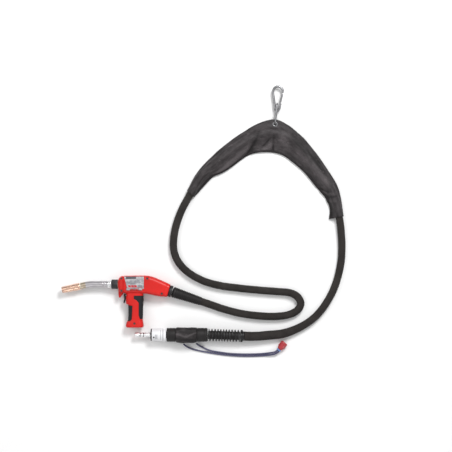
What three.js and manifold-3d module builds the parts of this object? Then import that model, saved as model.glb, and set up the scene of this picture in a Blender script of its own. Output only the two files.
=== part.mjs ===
// Push-pull MIG welding torch lying on its side, with its textile-sleeved cable
// carried in a leather hanging sling.  Millimetres, +Z up.  The origin is on the
// flat side face that the gun lies on, straight below the barrel axis.
import * as THREE from 'three';
import { mergeVertices } from 'three/addons/utils/BufferGeometryUtils.js';
import Module from 'manifold-3d';

const wasm = await Module();
wasm.setup();

// ---------------------------------------------------------------- dimensions
const GAP = 0.3;
const BARREL_HEIGHT = 27;
const SHELL_WALL = 4;
const GRIP_SKIN = 2;

const NECK_RADIUS = 12;
const NECK_BORE = 6;
const NECK_INNER_END = -22.5;
const BEND_START = -150;
const BEND_RADIUS = 120;
const BEND_ANGLE = THREE.MathUtils.degToRad(12);
const NOZZLE_RADIUS = 12.7;
const NOZZLE_TIP = 87.6;
const TIP_RECESS = 6;

const NOSE_BORE = 14.6;
const REAR_BORE = 13.4;
const HINGE = [-18.8, 29.3];
const HINGE_PIN = 1;
const HINGE_HOLE = 1.3;
const HINGE_HOLE_HALF = 32;
const ROLL_RADIUS = 9;
const ROLL_X = 12;
const ROLL_Y = 9.6;
const ARM_PIVOT = [-8, 16];
const LEVER_PIVOT = [32, 12];
const TRIGGER_PIVOT = [-30, -39];
const TRIGGER_HALF = 8;
const TRIGGER_ROOM = 8.6;
const TRIGGER_BORE = 2.3;
const SCREW_PLACES = [[-46, 21.5], [-46, -22.5], [46, 21], [98, -33], [0, -140]];
const BOSS_RADIUS = 3.8;
const SCREW_HEAD = 3.8;
const SCREW_WELL = 4.2;

const REAR_FACE = [122.4, -23.4];
const REAR_ANGLE = THREE.MathUtils.degToRad(-16);
const RELIEF_START = 13.7;
const RELIEF_LENGTH = 108;
const RELIEF_YAW = THREE.MathUtils.degToRad(-18.7);
const RELIEF_DROP = THREE.MathUtils.degToRad(5);

const HOSE_RADIUS = 13.7;
const HOSE_STEPS = 72;
const SLING_TUNNEL = 14.8;
const SLING_RADIUS = 16.9;
const SLING_HEIGHT = 17.4;
const SLING_SPAN = [22.05, 32.1];
const EYELET = [504, 574];

const LINK_BAR = 3.4;
const LINK_HALF_HEIGHT = 10;
const LINK_LENGTH = 75;
const LINK_LEAN = THREE.MathUtils.degToRad(-5.5);
const HOOK_BAR = 4.5;

const CONNECTOR_Y = -181.4;
const CONNECTOR_Z = 26;
const PIN_RADIUS = 8;
const PIN_LENGTH = 57;
const BOOT_RADIUS = 24.8;
const SPRING_TURNS = 10.5;
const SPRING_RADIUS = 20.6;
const SPRING_WIRE = 1.8;
const SPRING_LENGTH = 111.6;
const REAR_DROOP = THREE.MathUtils.degToRad(-2);
const LEAD_RADIUS = 3;
const PLUG_PLACE = [519.7, -232.9, 13.6];
const PLUG_ANGLE = THREE.MathUtils.degToRad(50);
const PLUG_RADIUS = 11.4;
const PLUG_RING_RADIUS = 13.2;

// The cable's centre line from the gun's strain relief to the rear clamp.
const HOSE_ROUTE = [
  [237.9, -61.8, 17.6], [275.5, -74.7, 15.1], [317, -89, 14], [364.5, -102, 13.9],
  [430, -112.5, 13.9], [500, -116, 13.9], [553, -109.5, 13.9], [584.5, -93, 13.9],
  [596.5, -70, 13.9], [585, -46, 13.9], [558, -31.5, 13.9], [510, -26.5, 13.9],
  [440, -21.3, 13.9], [372, -14.2, 13.9], [303.5, -4.6, 13.9], [245, 12, 13.9],
  [189.5, 43.8, 13.9], [156, 80.3, 13.9], [141.3, 116, 13.9], [139, 154, 13.9],
  [147.3, 204.8, 14], [166, 260, 15.6], [198, 321, 17.3], [236, 385, 17.4],
  [295, 441, 17.4], [366, 494, 17.4], [436, 531, 17.4], [504, 543, 17.4],
  [562, 521.5, 17.4], [616, 469, 17.4], [665, 401, 17.4], [708, 331, 17.4],
  [732.5, 250, 17.3], [743.5, 150, 15.6], [738.5, 65.5, 13.9], [708, -32.2, 13.9],
  [642.5, -122, 13.9], [551, -172.6, 15.2], [465, -184.8, 20.2], [425, -187, 24.4],
  [393.2, -186, 26],
];

const LEAD_A_ROUTE = [
  [176, -214.8, 18], [183, -222, 11], [200, -231.5, 4.2], [226, -239, 3.3],
  [275, -248, 3.3], [330, -255.5, 3.3], [385, -259.2, 3.3], [436, -258.8, 3.3],
  [468, -257, 4.2], [488, -254.3, 8.6], [503, -250.6, 12.6], [514.5, -244.2, 13.6], [521.5, -235.8, 13.6],
];

const LEAD_B_ROUTE = [
  [221.8, -213.8, 16], [230, -220, 9.5], [243, -227.5, 4.2], [268, -238.6, 3.3],
  [312, -246.6, 3.3], [345, -250.6, 3.3], [386, -252.4, 3.3], [435, -252.1, 3.3],
  [466, -250.2, 4.2], [485, -247.6, 8.6], [498.8, -245.2, 12.6], [509.5, -240, 13.6], [516.5, -231.7, 13.6],
];

// ------------------------------------------------------------------- looks
const look = (color, roughness, metalness) => new THREE.MeshStandardMaterial({ color, roughness, metalness });

const LOOKS = {
  red: look(0xd92018, 0.42, 0),
  black: look(0x16161a, 0.7, 0),
  dark: look(0x2a2a2e, 0.55, 0),
  copper: look(0xc9794a, 0.3, 1),
  brass: look(0xb59a5c, 0.35, 1),
  steel: look(0xb4b6ba, 0.25, 1),
  aluminium: look(0xa4a7ab, 0.4, 1),
  ceramic: look(0xe8e2d6, 0.6, 0),
  label: look(0xe6e7ea, 0.5, 0),
  fabric: look(0x1f1c1e, 0.9, 0),
  leather: look(0x26232a, 0.75, 0),
  lead: look(0x3b4478, 0.5, 0),
  collar: look(0x7fa0d8, 0.5, 0),
};

// ------------------------------------------------------------ solid helpers

// Welds a closed geometry and turns it into a solid with its faces outwards.
function solid(geometry) {
  const bare = geometry.clone();
  bare.deleteAttribute('normal');
  bare.deleteAttribute('uv');
  const welded = mergeVertices(bare, 1e-4);
  const corners = welded.getAttribute('position').array;
  const order = welded.getIndex().array;
  const faces = [];
  let volume = 0;
  const a = new THREE.Vector3();
  const b = new THREE.Vector3();
  const c = new THREE.Vector3();
  for (let i = 0; i < order.length; i += 3) {
    const [p, q, r] = [order[i], order[i + 1], order[i + 2]];
    if (p === q || q === r || r === p) continue;
    faces.push([p, q, r]);
    const across = b.fromArray(corners, 3 * q).cross(c.fromArray(corners, 3 * r));
    volume += a.fromArray(corners, 3 * p).dot(across);
  }
  const triVerts = new Uint32Array((volume < 0 ? faces.map((f) => [f[0], f[2], f[1]]) : faces).flat());
  const mesh = new wasm.Mesh({ numProp: 3, vertProperties: new Float32Array(corners), triVerts });
  return new wasm.Manifold(mesh);
}

function geometryOf(body) {
  const mesh = body.getMesh();
  const geometry = new THREE.BufferGeometry();
  geometry.setAttribute('position', new THREE.BufferAttribute(Float32Array.from(mesh.vertProperties), 3));
  geometry.setIndex(new THREE.BufferAttribute(Uint32Array.from(mesh.triVerts), 1));
  geometry.computeVertexNormals();
  return geometry;
}

const join = (...bodies) => bodies.reduce((all, body) => all.add(body));
const cut = (base, ...tools) => tools.reduce((left, tool) => left.subtract(tool), base);

// A body turned about the X axis; the profile lists [distance along X, radius].
function turned(profile, sides = 16) {
  const points = profile.map(([along, radius]) => new THREE.Vector2(radius, along));
  const geometry = new THREE.LatheGeometry(points, sides);
  geometry.rotateZ(-Math.PI / 2);
  return solid(geometry);
}

function rodX(from, to, radius, sides = 16) {
  return turned([[from, 0], [from, radius], [to, radius], [to, 0]], sides);
}

// A tube about the X axis, open at both ends.
function tubeX(from, to, outer, inner, sides = 16) {
  return turned([[from, inner], [from, outer], [to, outer], [to, inner], [from, inner]], sides);
}

function rodZ(x, y, from, to, radius, sides = 12) {
  const geometry = new THREE.CylinderGeometry(radius, radius, to - from, sides);
  geometry.rotateX(Math.PI / 2);
  geometry.translate(x, y, (from + to) / 2);
  return solid(geometry);
}

function block(x0, x1, y0, y1, z0, z1) {
  const geometry = new THREE.BoxGeometry(x1 - x0, y1 - y0, z1 - z0);
  geometry.translate((x0 + x1) / 2, (y0 + y1) / 2, (z0 + z1) / 2);
  return solid(geometry);
}

function prism(points, from, to) {
  const shape = new THREE.Shape(points.map(([x, y]) => new THREE.Vector2(x, y)));
  const geometry = new THREE.ExtrudeGeometry(shape, { depth: to - from, bevelEnabled: false });
  geometry.translate(0, 0, from);
  return solid(geometry);
}

function circle(radius, sides) {
  const turn = (2 * Math.PI) / sides;
  const corner = (i) => new THREE.Vector2(radius * Math.cos(i * turn), radius * Math.sin(i * turn));
  return new THREE.Shape(Array.from({ length: sides }, (_, i) => corner(i)));
}

function smooth(points) {
  return new THREE.CatmullRomCurve3(points.map((p) => new THREE.Vector3(...p)), false, 'centripetal');
}

function swept(curve, radius, steps, sides = 10) {
  const options = { steps, extrudePath: curve, bevelEnabled: false };
  return solid(new THREE.ExtrudeGeometry(circle(radius, sides), options));
}

// A wire coil about the Z axis.
class Coil extends THREE.Curve {
  constructor(radius, pitch, turns) {
    super();
    Object.assign(this, { radius, pitch, turns });
  }

  getPoint(t, target = new THREE.Vector3()) {
    const angle = 2 * Math.PI * this.turns * t;
    const height = this.pitch * this.turns * t;
    return target.set(this.radius * Math.cos(angle), this.radius * Math.sin(angle), height);
  }
}

// One cross-section: a rounded rectangle in the plane spanned by two directions.
function section(centre, across, upward, halfAcross, halfUp, corner) {
  const radius = Math.min(corner, halfAcross - 0.2, halfUp - 0.2);
  const ring = [];
  for (let quarter = 0; quarter < 4; quarter += 1) {
    const signA = quarter === 0 || quarter === 3 ? 1 : -1;
    const signU = quarter < 2 ? 1 : -1;
    for (let i = 0; i <= 2; i += 1) {
      const angle = (quarter + i / 2) * (Math.PI / 2);
      const a = signA * (halfAcross - radius) + radius * Math.cos(angle);
      const u = signU * (halfUp - radius) + radius * Math.sin(angle);
      ring.push(centre.clone().addScaledVector(across, a).addScaledVector(upward, u));
    }
  }
  return ring;
}

// Joins cross-sections of equal point count into one closed skin.
function skin(rings) {
  const count = rings[0].length;
  const middle = (ring) => ring.reduce((sum, p) => sum.add(p), new THREE.Vector3()).divideScalar(count);
  const points = [...rings.flat(), middle(rings[0]), middle(rings[rings.length - 1])];
  const firstCentre = rings.length * count;
  const faces = [];
  for (let i = 0; i < count; i += 1) {
    const next = (i + 1) % count;
    for (let level = 0; level < rings.length - 1; level += 1) {
      const [a, b] = [level * count + i, level * count + next];
      faces.push(a, b, a + count, b, b + count, a + count);
    }
    const last = (rings.length - 1) * count;
    faces.push(firstCentre, next, i, firstCentre + 1, last + i, last + next);
  }
  return solid(geometryFrom(points.flatMap((p) => p.toArray()), faces));
}

function geometryFrom(numbers, faces) {
  const geometry = new THREE.BufferGeometry();
  geometry.setAttribute('position', new THREE.BufferAttribute(Float32Array.from(numbers), 3));
  geometry.setIndex(faces);
  return geometry;
}

// Places a piece in a group; every piece is a mesh of its own.
function piece(group, name, body, material) {
  const mesh = new THREE.Mesh(geometryOf(body), material.clone());
  mesh.name = name;
  group.add(mesh);
  return mesh;
}

function subgroup(parent, position, rotation = [0, 0, 0], order = 'XYZ') {
  const group = new THREE.Group();
  group.position.set(...position);
  group.rotation.set(...rotation, order);
  parent.add(group);
  return group;
}

// ------------------------------------------------------------- gun housing

// Barrel housing sections: [x, y of centre, half height, half thickness, lean].
const BODY_SECTIONS = [
  [-59.4, 0, 15.5, 17, 0], [-55, -0.5, 23, 22, 0], [-47, -0.8, 30, 26, 0], [-36, -1, 31.2, 27, 0],
  [42, -1.5, 32.5, 27, 0], [60, -5, 32, 26.5, -6], [92, -15, 28.5, 25, -12],
  [REAR_FACE[0], REAR_FACE[1], 23, 23, -16],
];

// Grip sections: [y, front x, rear x, half thickness].
const GRIP_SECTIONS = [
  [-12, -30, 31, 20], [-50, -31.2, 31.5, 20.5], [-69, -31.2, 30.8, 20], [-75, -22.5, 30.3, 20],
  [-100, -21.6, 29.8, 20], [-126, -22.6, 29.2, 20], [-136, -28.5, 31, 20.5], [-149, -31.5, 32.6, 21],
  [-154.8, -29, 31, 19],
];

// The finger guard in front of the trigger: [y, front x, rear x, half thickness].
const BEAK_SECTIONS = [
  [-8, -58.9, -42, 15], [-30, -58, -38, 12], [-44, -56.8, -49, 9.5], [-48.8, -55.6, -51.6, 7],
];

const HOUSING_CORNER = 13;
const GRIP_CORNER = 14;
const BEAK_CORNER = 6;
const UP = new THREE.Vector3(0, 0, 1);

function bodyForm(inset) {
  const ends = BODY_SECTIONS.length - 1;
  const rings = BODY_SECTIONS.map(([x, y, halfHeight, half, lean], i) => {
    const angle = THREE.MathUtils.degToRad(lean);
    const along = new THREE.Vector3(Math.cos(angle), Math.sin(angle), 0);
    const up = new THREE.Vector3(-Math.sin(angle), Math.cos(angle), 0);
    const shift = i === 0 ? inset : i === ends ? -inset : 0;
    const centre = new THREE.Vector3(x, y, 0).addScaledVector(along, shift);
    return section(centre, up, UP, halfHeight - inset, half - inset, HOUSING_CORNER - inset);
  });
  return skin(rings);
}

function uprightForm(sections, inset, corner) {
  const ends = sections.length - 1;
  const rings = sections.map(([y, front, rear, half], i) => {
    const shift = i === 0 ? -inset : i === ends ? inset : 0;
    const centre = new THREE.Vector3((front + rear) / 2, y + shift, 0);
    const across = new THREE.Vector3(1, 0, 0);
    return section(centre, across, UP, (rear - front) / 2 - inset, half - inset, corner - inset);
  });
  return skin(rings);
}

const gripForm = (inset) => uprightForm(GRIP_SECTIONS, inset, GRIP_CORNER);

// Outlines of the two soft pads, grown by a margin.
function frontPadRegion(margin) {
  const points = [[-40, -73], [-7.2, -77], [-9.5, -125], [-15, -131], [-40, -131]];
  return prism(grown(points, margin), -40, 40);
}

function rearPadRegion(margin) {
  const points = [
    [-1.8, -41], [40, -41], [40, -124], [20, -124], [15.5, -110], [15.5, -66], [8, -57], [-1.8, -52],
  ];
  return prism(grown(points, margin), -40, 40);
}

// Offsets a closed outline outwards by a margin, mitred at its corners.
function grown(points, margin) {
  const side = THREE.ShapeUtils.area(points.map(([x, y]) => ({ x, y }))) > 0 ? 1 : -1;
  return points.map(([x, y], i) => {
    const [px, py] = points[(i + points.length - 1) % points.length];
    const [nx, ny] = points[(i + 1) % points.length];
    const before = new THREE.Vector2(y - py, px - x).normalize();
    const after = new THREE.Vector2(ny - y, x - nx).normalize();
    const reach = (side * margin) / (1 + before.dot(after));
    return [x + (before.x + after.x) * reach, y + (before.y + after.y) * reach];
  });
}

function housing() {
  const outside = join(bodyForm(0), gripForm(0), uprightForm(BEAK_SECTIONS, 0, BEAK_CORNER));
  const inside = join(bodyForm(SHELL_WALL), gripForm(SHELL_WALL));
  const bosses = join(...SCREW_PLACES.map(([x, y]) => rodZ(x, y, -30, 30, BOSS_RADIUS))).intersect(outside);
  const padRecess = join(frontPadRegion(GAP), rearPadRegion(GAP)).subtract(gripForm(GRIP_SKIN + GAP));
  const padRoom = padRecess.subtract(bodyForm(0));
  let walls = join(cut(outside, inside), bosses);
  walls = cut(walls, padRoom, rodX(-70, -50, NOSE_BORE), rearOpening(), triggerSlot(), pinHole());
  return cut(walls, ...SCREW_PLACES.map(([x, y]) => screwHole(x, y)));
}

function rearOpening() {
  const geometry = new THREE.CylinderGeometry(REAR_BORE, REAR_BORE, 30, 24);
  geometry.rotateZ(Math.PI / 2);
  geometry.rotateZ(REAR_ANGLE);
  geometry.translate(REAR_FACE[0], REAR_FACE[1], 0);
  return solid(geometry);
}

function triggerSlot() {
  return prism([[-50, -72], [-23, -72], [-23, -30.5], [-38, -30.5], [-48, -46]], -TRIGGER_ROOM, TRIGGER_ROOM);
}

const pinHole = () => rodZ(...TRIGGER_PIVOT, -18.5, 18.5, TRIGGER_BORE);
const screwHole = (x, y) => join(rodZ(x, y, -16, 40, 2, 10), rodZ(x, y, headSeat(y), 40, SCREW_WELL, 10));

// The grip is thinner than the barrel housing, so its screw head sits lower.
const headSeat = (y) => (y < -100 ? 17.6 : 21.8);

function shells(gun) {
  const walls = housing();
  const lower = walls.intersect(block(-80, 150, -170, 50, -40, -GAP / 2));
  const window = block(-27.5, 27.5, -11.5, 16.5, 15, 40);
  const coverSeat = surfaceStrip(grown(COVER_OUTLINE, GAP), 2, -4);
  const ear = (x) => block(x - 3, x + 3, HINGE[0] - 2.1, HINGE[0] + 2.1, 25, HINGE[1] + 2);
  const knuckleRoom = hingeRod(3.4, 31);
  const half = walls.intersect(block(-80, 150, -170, 50, GAP / 2, 40));
  piece(gun, 'lower_shell', lower, LOOKS.red);
  const open = cut(half, window, coverSeat, knuckleRoom);
  const eared = join(open, ear(-8), ear(8));
  piece(gun, 'upper_shell', cut(eared, hingeRod(HINGE_HOLE, HINGE_HOLE_HALF)), LOOKS.red);
}

function gripPads(gun) {
  const pads = [['front_grip_pad', frontPadRegion], ['rear_grip_pad', rearPadRegion]];
  for (const [name, region] of pads) {
    const ring = cut(gripForm(-0.6).intersect(region(0)), gripForm(GRIP_SKIN), bodyForm(-GAP));
    piece(gun, name, ring, LOOKS.black);
  }
}

function shellScrews(gun) {
  SCREW_PLACES.forEach(([x, y], i) => {
    const seat = headSeat(y) + GAP;
    const head = rodZ(x, y, seat, seat + 2.6, SCREW_HEAD, 12);
    const socket = rodZ(x, y, seat + 1, seat + 4, 2, 6);
    const shank = rodZ(x, y, -15, seat + 0.5, 1.6, 8);
    piece(gun, `shell_screw_${i + 1}`, cut(join(head, shank), socket), LOOKS.steel);
  });
}

// A rod on the cover's hinge axis, equally long to both sides.
const hingeRod = (radius, half) => rodX(-half, half, radius, 10).translate([0, ...HINGE]);

// The access cover's outline: its front edge slants, its upper edge wraps over the shoulder.
const COVER_OUTLINE = [[-25, -16], [34, -16], [34, 28.4], [-36.6, 28.4]];

// A strip that follows the housing's surface, between two depths below it.
function surfaceStrip(outline, deep, shallow) {
  return cut(bodyForm(shallow), bodyForm(deep)).intersect(prism(outline, 8, 40));
}

const rectangle = (x0, x1, y0, y1) => [[x0, y0], [x1, y0], [x1, y1], [x0, y1]];

// Access cover over the drive rolls, hinged along its lower edge.
function driveCover(gun) {
  const plate = surfaceStrip(COVER_OUTLINE, 1.7, -0.6);
  const knuckles = [-22, 22].map((x) => block(x - 6, x + 6, HINGE[0] - 2.1, -13.4, 27.3, HINGE[1] + 2));
  const labelSeat = prism(grown(LABEL_OUTLINE, GAP), 27.2, 28.5);
  const latchSlot = surfaceStrip(rectangle(-30.3, 14.3, 19.7, 29), 0.6, -4);
  const pinRoom = hingeRod(HINGE_HOLE, HINGE_HOLE_HALF);
  const body = cut(join(plate, ...knuckles), pinRoom, labelSeat, latchSlot);
  piece(gun, 'drive_cover', body, LOOKS.label);
  piece(gun, 'cover_label', prism(LABEL_OUTLINE, 27.5, 28), LOOKS.label);
  piece(gun, 'cover_hinge_pin', hingeRod(HINGE_PIN, 28.5), LOOKS.steel);
  const slide = surfaceStrip(rectangle(-30, 6, 20, 28), 0.3, -1.8);
  const ribs = [-24, -20, -16, -12].map((x) => surfaceStrip(rectangle(x - 0.8, x + 0.8, 21, 27), 0, -2.8));
  piece(gun, 'cover_latch', join(slide, ...ribs), LOOKS.dark);
}

const LABEL_OUTLINE = [[-23.4, -13], [31, -13], [31, 11], [-29.8, 11]];

// ------------------------------------------------------------ gun mechanism

function trigger(gun) {
  const outline = [
    [-37, -33.5], [-26, -33], [-24.6, -40], [-25.4, -45.5], [-31.5, -52], [-32.4, -60], [-35.2, -68.4],
    [-39.4, -68.6], [-40, -64], [-38, -55], [-38.6, -44],
  ];
  const lever = prism(outline, -TRIGGER_HALF, TRIGGER_HALF);
  const body = cut(lever, rodZ(...TRIGGER_PIVOT, -9, 9, TRIGGER_BORE), rodZ(...TRIGGER_PIVOT, -3.6, 3.6, 4.9));
  piece(gun, 'trigger', body, LOOKS.black);
  piece(gun, 'trigger_pin', rodZ(...TRIGGER_PIVOT, -18.2, 18.2, 2), LOOKS.steel);
  const spring = swept(new Coil(3.4, 1.9, 3), 0.5, 24, 4).translate([...TRIGGER_PIVOT, -3]);
  piece(gun, 'trigger_spring', spring, LOOKS.steel);
  const plunger = block(-22.6, -21.5, -52, -49, -1.5, 1.5);
  piece(gun, 'trigger_switch', join(block(-21.6, -11, -59, -44, -5, 5), plunger), LOOKS.dark);
}

function wireDrive(gun) {
  const groove = turnedZ([[-0.9, ROLL_RADIUS + 1], [0, ROLL_RADIUS - 0.9], [0.9, ROLL_RADIUS + 1]]);
  const wheel = (y) => cut(rodZ(ROLL_X, y, -4, 4, ROLL_RADIUS, 20), groove.translate([ROLL_X, y, 0]));
  const shaft = rodZ(ROLL_X, -ROLL_Y, -16, -3.8, 3);
  piece(gun, 'drive_roll', join(wheel(-ROLL_Y), shaft), LOOKS.steel);
  piece(gun, 'idler_roll', cut(wheel(ROLL_Y), rodZ(ROLL_X, ROLL_Y, -6, 6, 3.3)), LOOKS.steel);
  const armPlate = prism([[-13, 11], [-13, 21], [19, 21], [19, 4], [7, 4], [0, 11]], -9, -4.6);
  const axle = rodZ(ROLL_X, ROLL_Y, -5, 5, 3);
  piece(gun, 'idler_arm', cut(join(armPlate, axle), rodZ(...ARM_PIVOT, -10, 0, 2.6)), LOOKS.aluminium);
  const leverPlate = prism([[-3, 18], [-3, 23.5], [8, 23.5], [36, 15.5], [36, 8.5], [29, 8.5]], 6, 10);
  piece(gun, 'pressure_lever', cut(leverPlate, rodZ(...LEVER_PIVOT, 0, 12, 2.6)), LOOKS.dark);
}

// A ring groove cutter about the Z axis: [height, radius] corners of a triangle.
function turnedZ(corners) {
  const points = [...corners, corners[0]].map(([height, radius]) => new THREE.Vector2(radius, height));
  const geometry = new THREE.LatheGeometry(points, 20);
  geometry.rotateX(Math.PI / 2);
  return solid(geometry);
}

function driveTrain(gun) {
  const base = join(block(0, 24, -21, 0, -20, -10), block(-13, 37, -18, 17, -22.4, -19));
  const posts = join(rodZ(...ARM_PIVOT, -20, -3.5, 2.2), rodZ(...LEVER_PIVOT, -20, 11, 2.2));
  const head = block(-7, 16, -45.8, -20.4, -13, 13);
  const bore = rodZ(ROLL_X, -ROLL_Y, -17, -5, 3.3);
  piece(gun, 'gearbox', cut(join(base, head, posts), bore), LOOKS.aluminium);
  const can = rodX(0, 70, 13.5).rotate([0, 0, -90]).translate([4.4, -46.2, 0]);
  piece(gun, 'drive_motor', can, LOOKS.steel);
  const guide = (from, to, tipAtStart) => {
    const radii = tipAtStart ? [1.6, 3.2] : [3.2, 1.6];
    const nose = tipAtStart ? from + 7 : to - 7;
    const profile = [[from, 1], [from, radii[0]], [nose, 3.2], [to, radii[1]], [to, 1], [from, 1]];
    return turned(profile, 16);
  };
  piece(gun, 'outlet_wire_guide', guide(-15.4, 5.6, false), LOOKS.brass);
  piece(gun, 'inlet_wire_guide', guide(18.4, 58, true), LOOKS.brass);
}

// ------------------------------------------------------------------ barrel

function barrel(gun) {
  const receiver = [
    [-76, 12.4], [-76, 14.2], [-52, 14.2], [-52, 16.2], [-16, 16.2], [-16, 1.2], [-22, 1.2], [-22, 12.4],
    [-76, 12.4],
  ];
  piece(gun, 'receiver_block', turned(receiver), LOOKS.brass);
  const teeth = Array.from({ length: 8 }, (_, i) => i * 45);
  const flute = (angle) => rodX(-80, -66, 1.6, 6).translate([0, 17.6, 0]).rotate([angle, 0, 0]);
  const nut = [
    [-82.8, 12.4], [-82.8, 15.6], [-81, 17], [-60.2, 17], [-60.2, 14.6], [-76.4, 14.6], [-76.4, 12.4],
    [-82.8, 12.4],
  ];
  piece(gun, 'barrel_collar', cut(turned(nut), ...teeth.map(flute)), LOOKS.black);
  const straight = tubeX(BEND_START, NECK_INNER_END, NECK_RADIUS, NECK_BORE);
  const bend = swept(neckCentre(0), NECK_RADIUS, 4, 16);
  const bore = swept(neckCentre(1), NECK_BORE, 5, 12);
  piece(gun, 'neck_tube', cut(join(straight, bend), bore), LOOKS.aluminium);
  piece(gun, 'neck_ferrule', tubeX(-97, -84.6, 13.6, NECK_RADIUS + GAP), LOOKS.steel);
  const tip = subgroup(gun, bendPoint(1), [0, 0, Math.PI + BEND_ANGLE]);
  frontEnd(tip);
}

// A point on the neck's bend, from its start (0) to its end (1).
function bendPoint(share) {
  const angle = share * BEND_ANGLE;
  return [BEND_START - BEND_RADIUS * Math.sin(angle), -BEND_RADIUS * (1 - Math.cos(angle)), 0];
}

function neckCentre(overrun) {
  const arc = [0, 0.2, 0.4, 0.6, 0.8, 1].map(bendPoint);
  const [endX, endY] = arc[arc.length - 1];
  const run = 5 * overrun;
  const ahead = [endX - run * Math.cos(BEND_ANGLE), endY - run * Math.sin(BEND_ANGLE), 0];
  const behind = [BEND_START + 1 + run, 0, 0];
  return smooth(overrun ? [behind, ...arc, ahead] : [behind, ...arc]);
}

// Everything past the neck, along +X from the end of the bend.
function frontEnd(tip) {
  const adapter = [
    [0.4, 6.3], [0.4, 10.8], [3, 11.6], [18, 11.6], [18, 8.6], [26, 8.6], [26, 6.3], [0.4, 6.3],
  ];
  piece(tip, 'neck_adapter', turned(adapter), LOOKS.brass);
  piece(tip, 'nozzle_insulator', tubeX(18.4, 32, 10.4, 8.9), LOOKS.ceramic);
  const diffuser = [[26.4, 2], [26.4, 8.4], [50, 8.4], [54, 6.5], [54, 4.6], [44, 4.6], [44, 2], [26.4, 2]];
  const gasHoles = [0, 90, 180, 270].map((a) => rodZ(39, 0, 0, 12, 1.3, 8).rotate([a, 0, 0]));
  piece(tip, 'gas_diffuser', cut(turned(diffuser), ...gasHoles), LOOKS.brass);
  const end = NOZZLE_TIP - TIP_RECESS;
  const tipProfile = [[44.4, 0.8], [44.4, 4.2], [end - 8, 4.2], [end, 2.6], [end, 0.8], [44.4, 0.8]];
  piece(tip, 'contact_tip', turned(tipProfile, 16), LOOKS.copper);
  const nozzle = [
    [22, 10.8], [22, 12.2], [23, NOZZLE_RADIUS], [44, NOZZLE_RADIUS], [46, 12], [74, 12],
    [NOZZLE_TIP - 2, 11.4], [NOZZLE_TIP, 10.9], [NOZZLE_TIP, 9.4], [74, 9.8], [34, 10.8], [22, 10.8],
  ];
  piece(tip, 'nozzle', turned(nozzle), LOOKS.copper);
}

// -------------------------------------------------------------- rear of gun

function rearOfGun(gun) {
  const rear = subgroup(gun, [...REAR_FACE, 0], [0, 0, REAR_ANGLE]);
  const gland = [
    [-12, 9.4], [-12, 13], [GAP, 13], [GAP, 20], [1.5, 21], [10.5, 21], [12, 20], [12, 9.4], [-12, 9.4],
  ];
  piece(rear, 'rear_gland', turned(gland), LOOKS.black);
  piece(rear, 'cable_core', rodX(-56, 11, 9), LOOKS.copper);
  const start = [
    REAR_FACE[0] + RELIEF_START * Math.cos(REAR_ANGLE), REAR_FACE[1] + RELIEF_START * Math.sin(REAR_ANGLE), 0,
  ];
  const relief = subgroup(gun, start, [0, RELIEF_DROP, RELIEF_YAW], 'ZYX');
  piece(relief, 'gun_strain_relief', turned(reliefProfile(), 12), LOOKS.black);
}

// A taper with raised rings along its whole length.
function reliefProfile() {
  const rings = 8;
  const first = 6;
  const last = RELIEF_LENGTH - 6;
  const pitch = (last - first) / rings;
  const taper = (x) => 19.6 - (4.6 * x) / RELIEF_LENGTH;
  const profile = [[0, 0], [0, 15], [4, 19.6]];
  for (let i = 0; i < rings; i += 1) {
    const x = first + i * pitch;
    profile.push([x, taper(x)], [x + 0.55 * pitch, taper(x)]);
    profile.push([x + 0.6 * pitch, taper(x) - 2.2], [x + 0.95 * pitch, taper(x) - 2.2]);
  }
  profile.push([last, taper(last)], [RELIEF_LENGTH, 14.6], [RELIEF_LENGTH, 0]);
  return profile;
}

// ----------------------------------------------------------- cable and sling

function cable(root) {
  const route = smooth(HOSE_ROUTE);
  piece(root, 'torch_cable', swept(route, HOSE_RADIUS, HOSE_STEPS, 8), LOOKS.fabric);
  const [from, to] = SLING_SPAN;
  const at = (place) => route.getPoint(place / (HOSE_ROUTE.length - 1)).toArray();
  const inSling = Array.from({ length: 25 }, (_, i) => at(from + ((to - from) * i) / 24));
  const tube = swept(smooth(inSling), SLING_RADIUS, 20, 8);
  const tunnel = swept(smooth([at(from - 0.6), ...inSling, at(to + 0.6)]), SLING_TUNNEL, 22, 8);
  const flap = prism([...SLING_OUTER, ...SLING_INNER], 13.6, 19.6);
  const hole = rodZ(...EYELET, 0, 40, 8.55, 20);
  piece(root, 'sling', cut(join(tube, flap), tunnel, hole), LOOKS.leather);
}

// The leather's outline: the folded outer edge, then the loose inner edge.
const SLING_OUTER = [
  [189, 338], [207, 373.5], [229, 408], [258, 441], [325, 501], [396, 551], [434, 573], [478, 589.5],
  [507.6, 592], [549, 573], [590, 540.5], [621, 509.5], [660, 459.5], [707, 390.5], [729, 352], [741, 307],
  [748.5, 262], [750.5, 242.5],
];
const SLING_INNER = [
  [709.9, 237.6], [698, 232], [701, 272], [686, 308], [650, 351], [611, 399], [567, 438], [530, 463.5],
  [485, 474], [436, 471.7], [401, 459], [351, 423.5], [317, 402], [279, 384.5], [243, 346], [213.8, 315.7],
];

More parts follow.
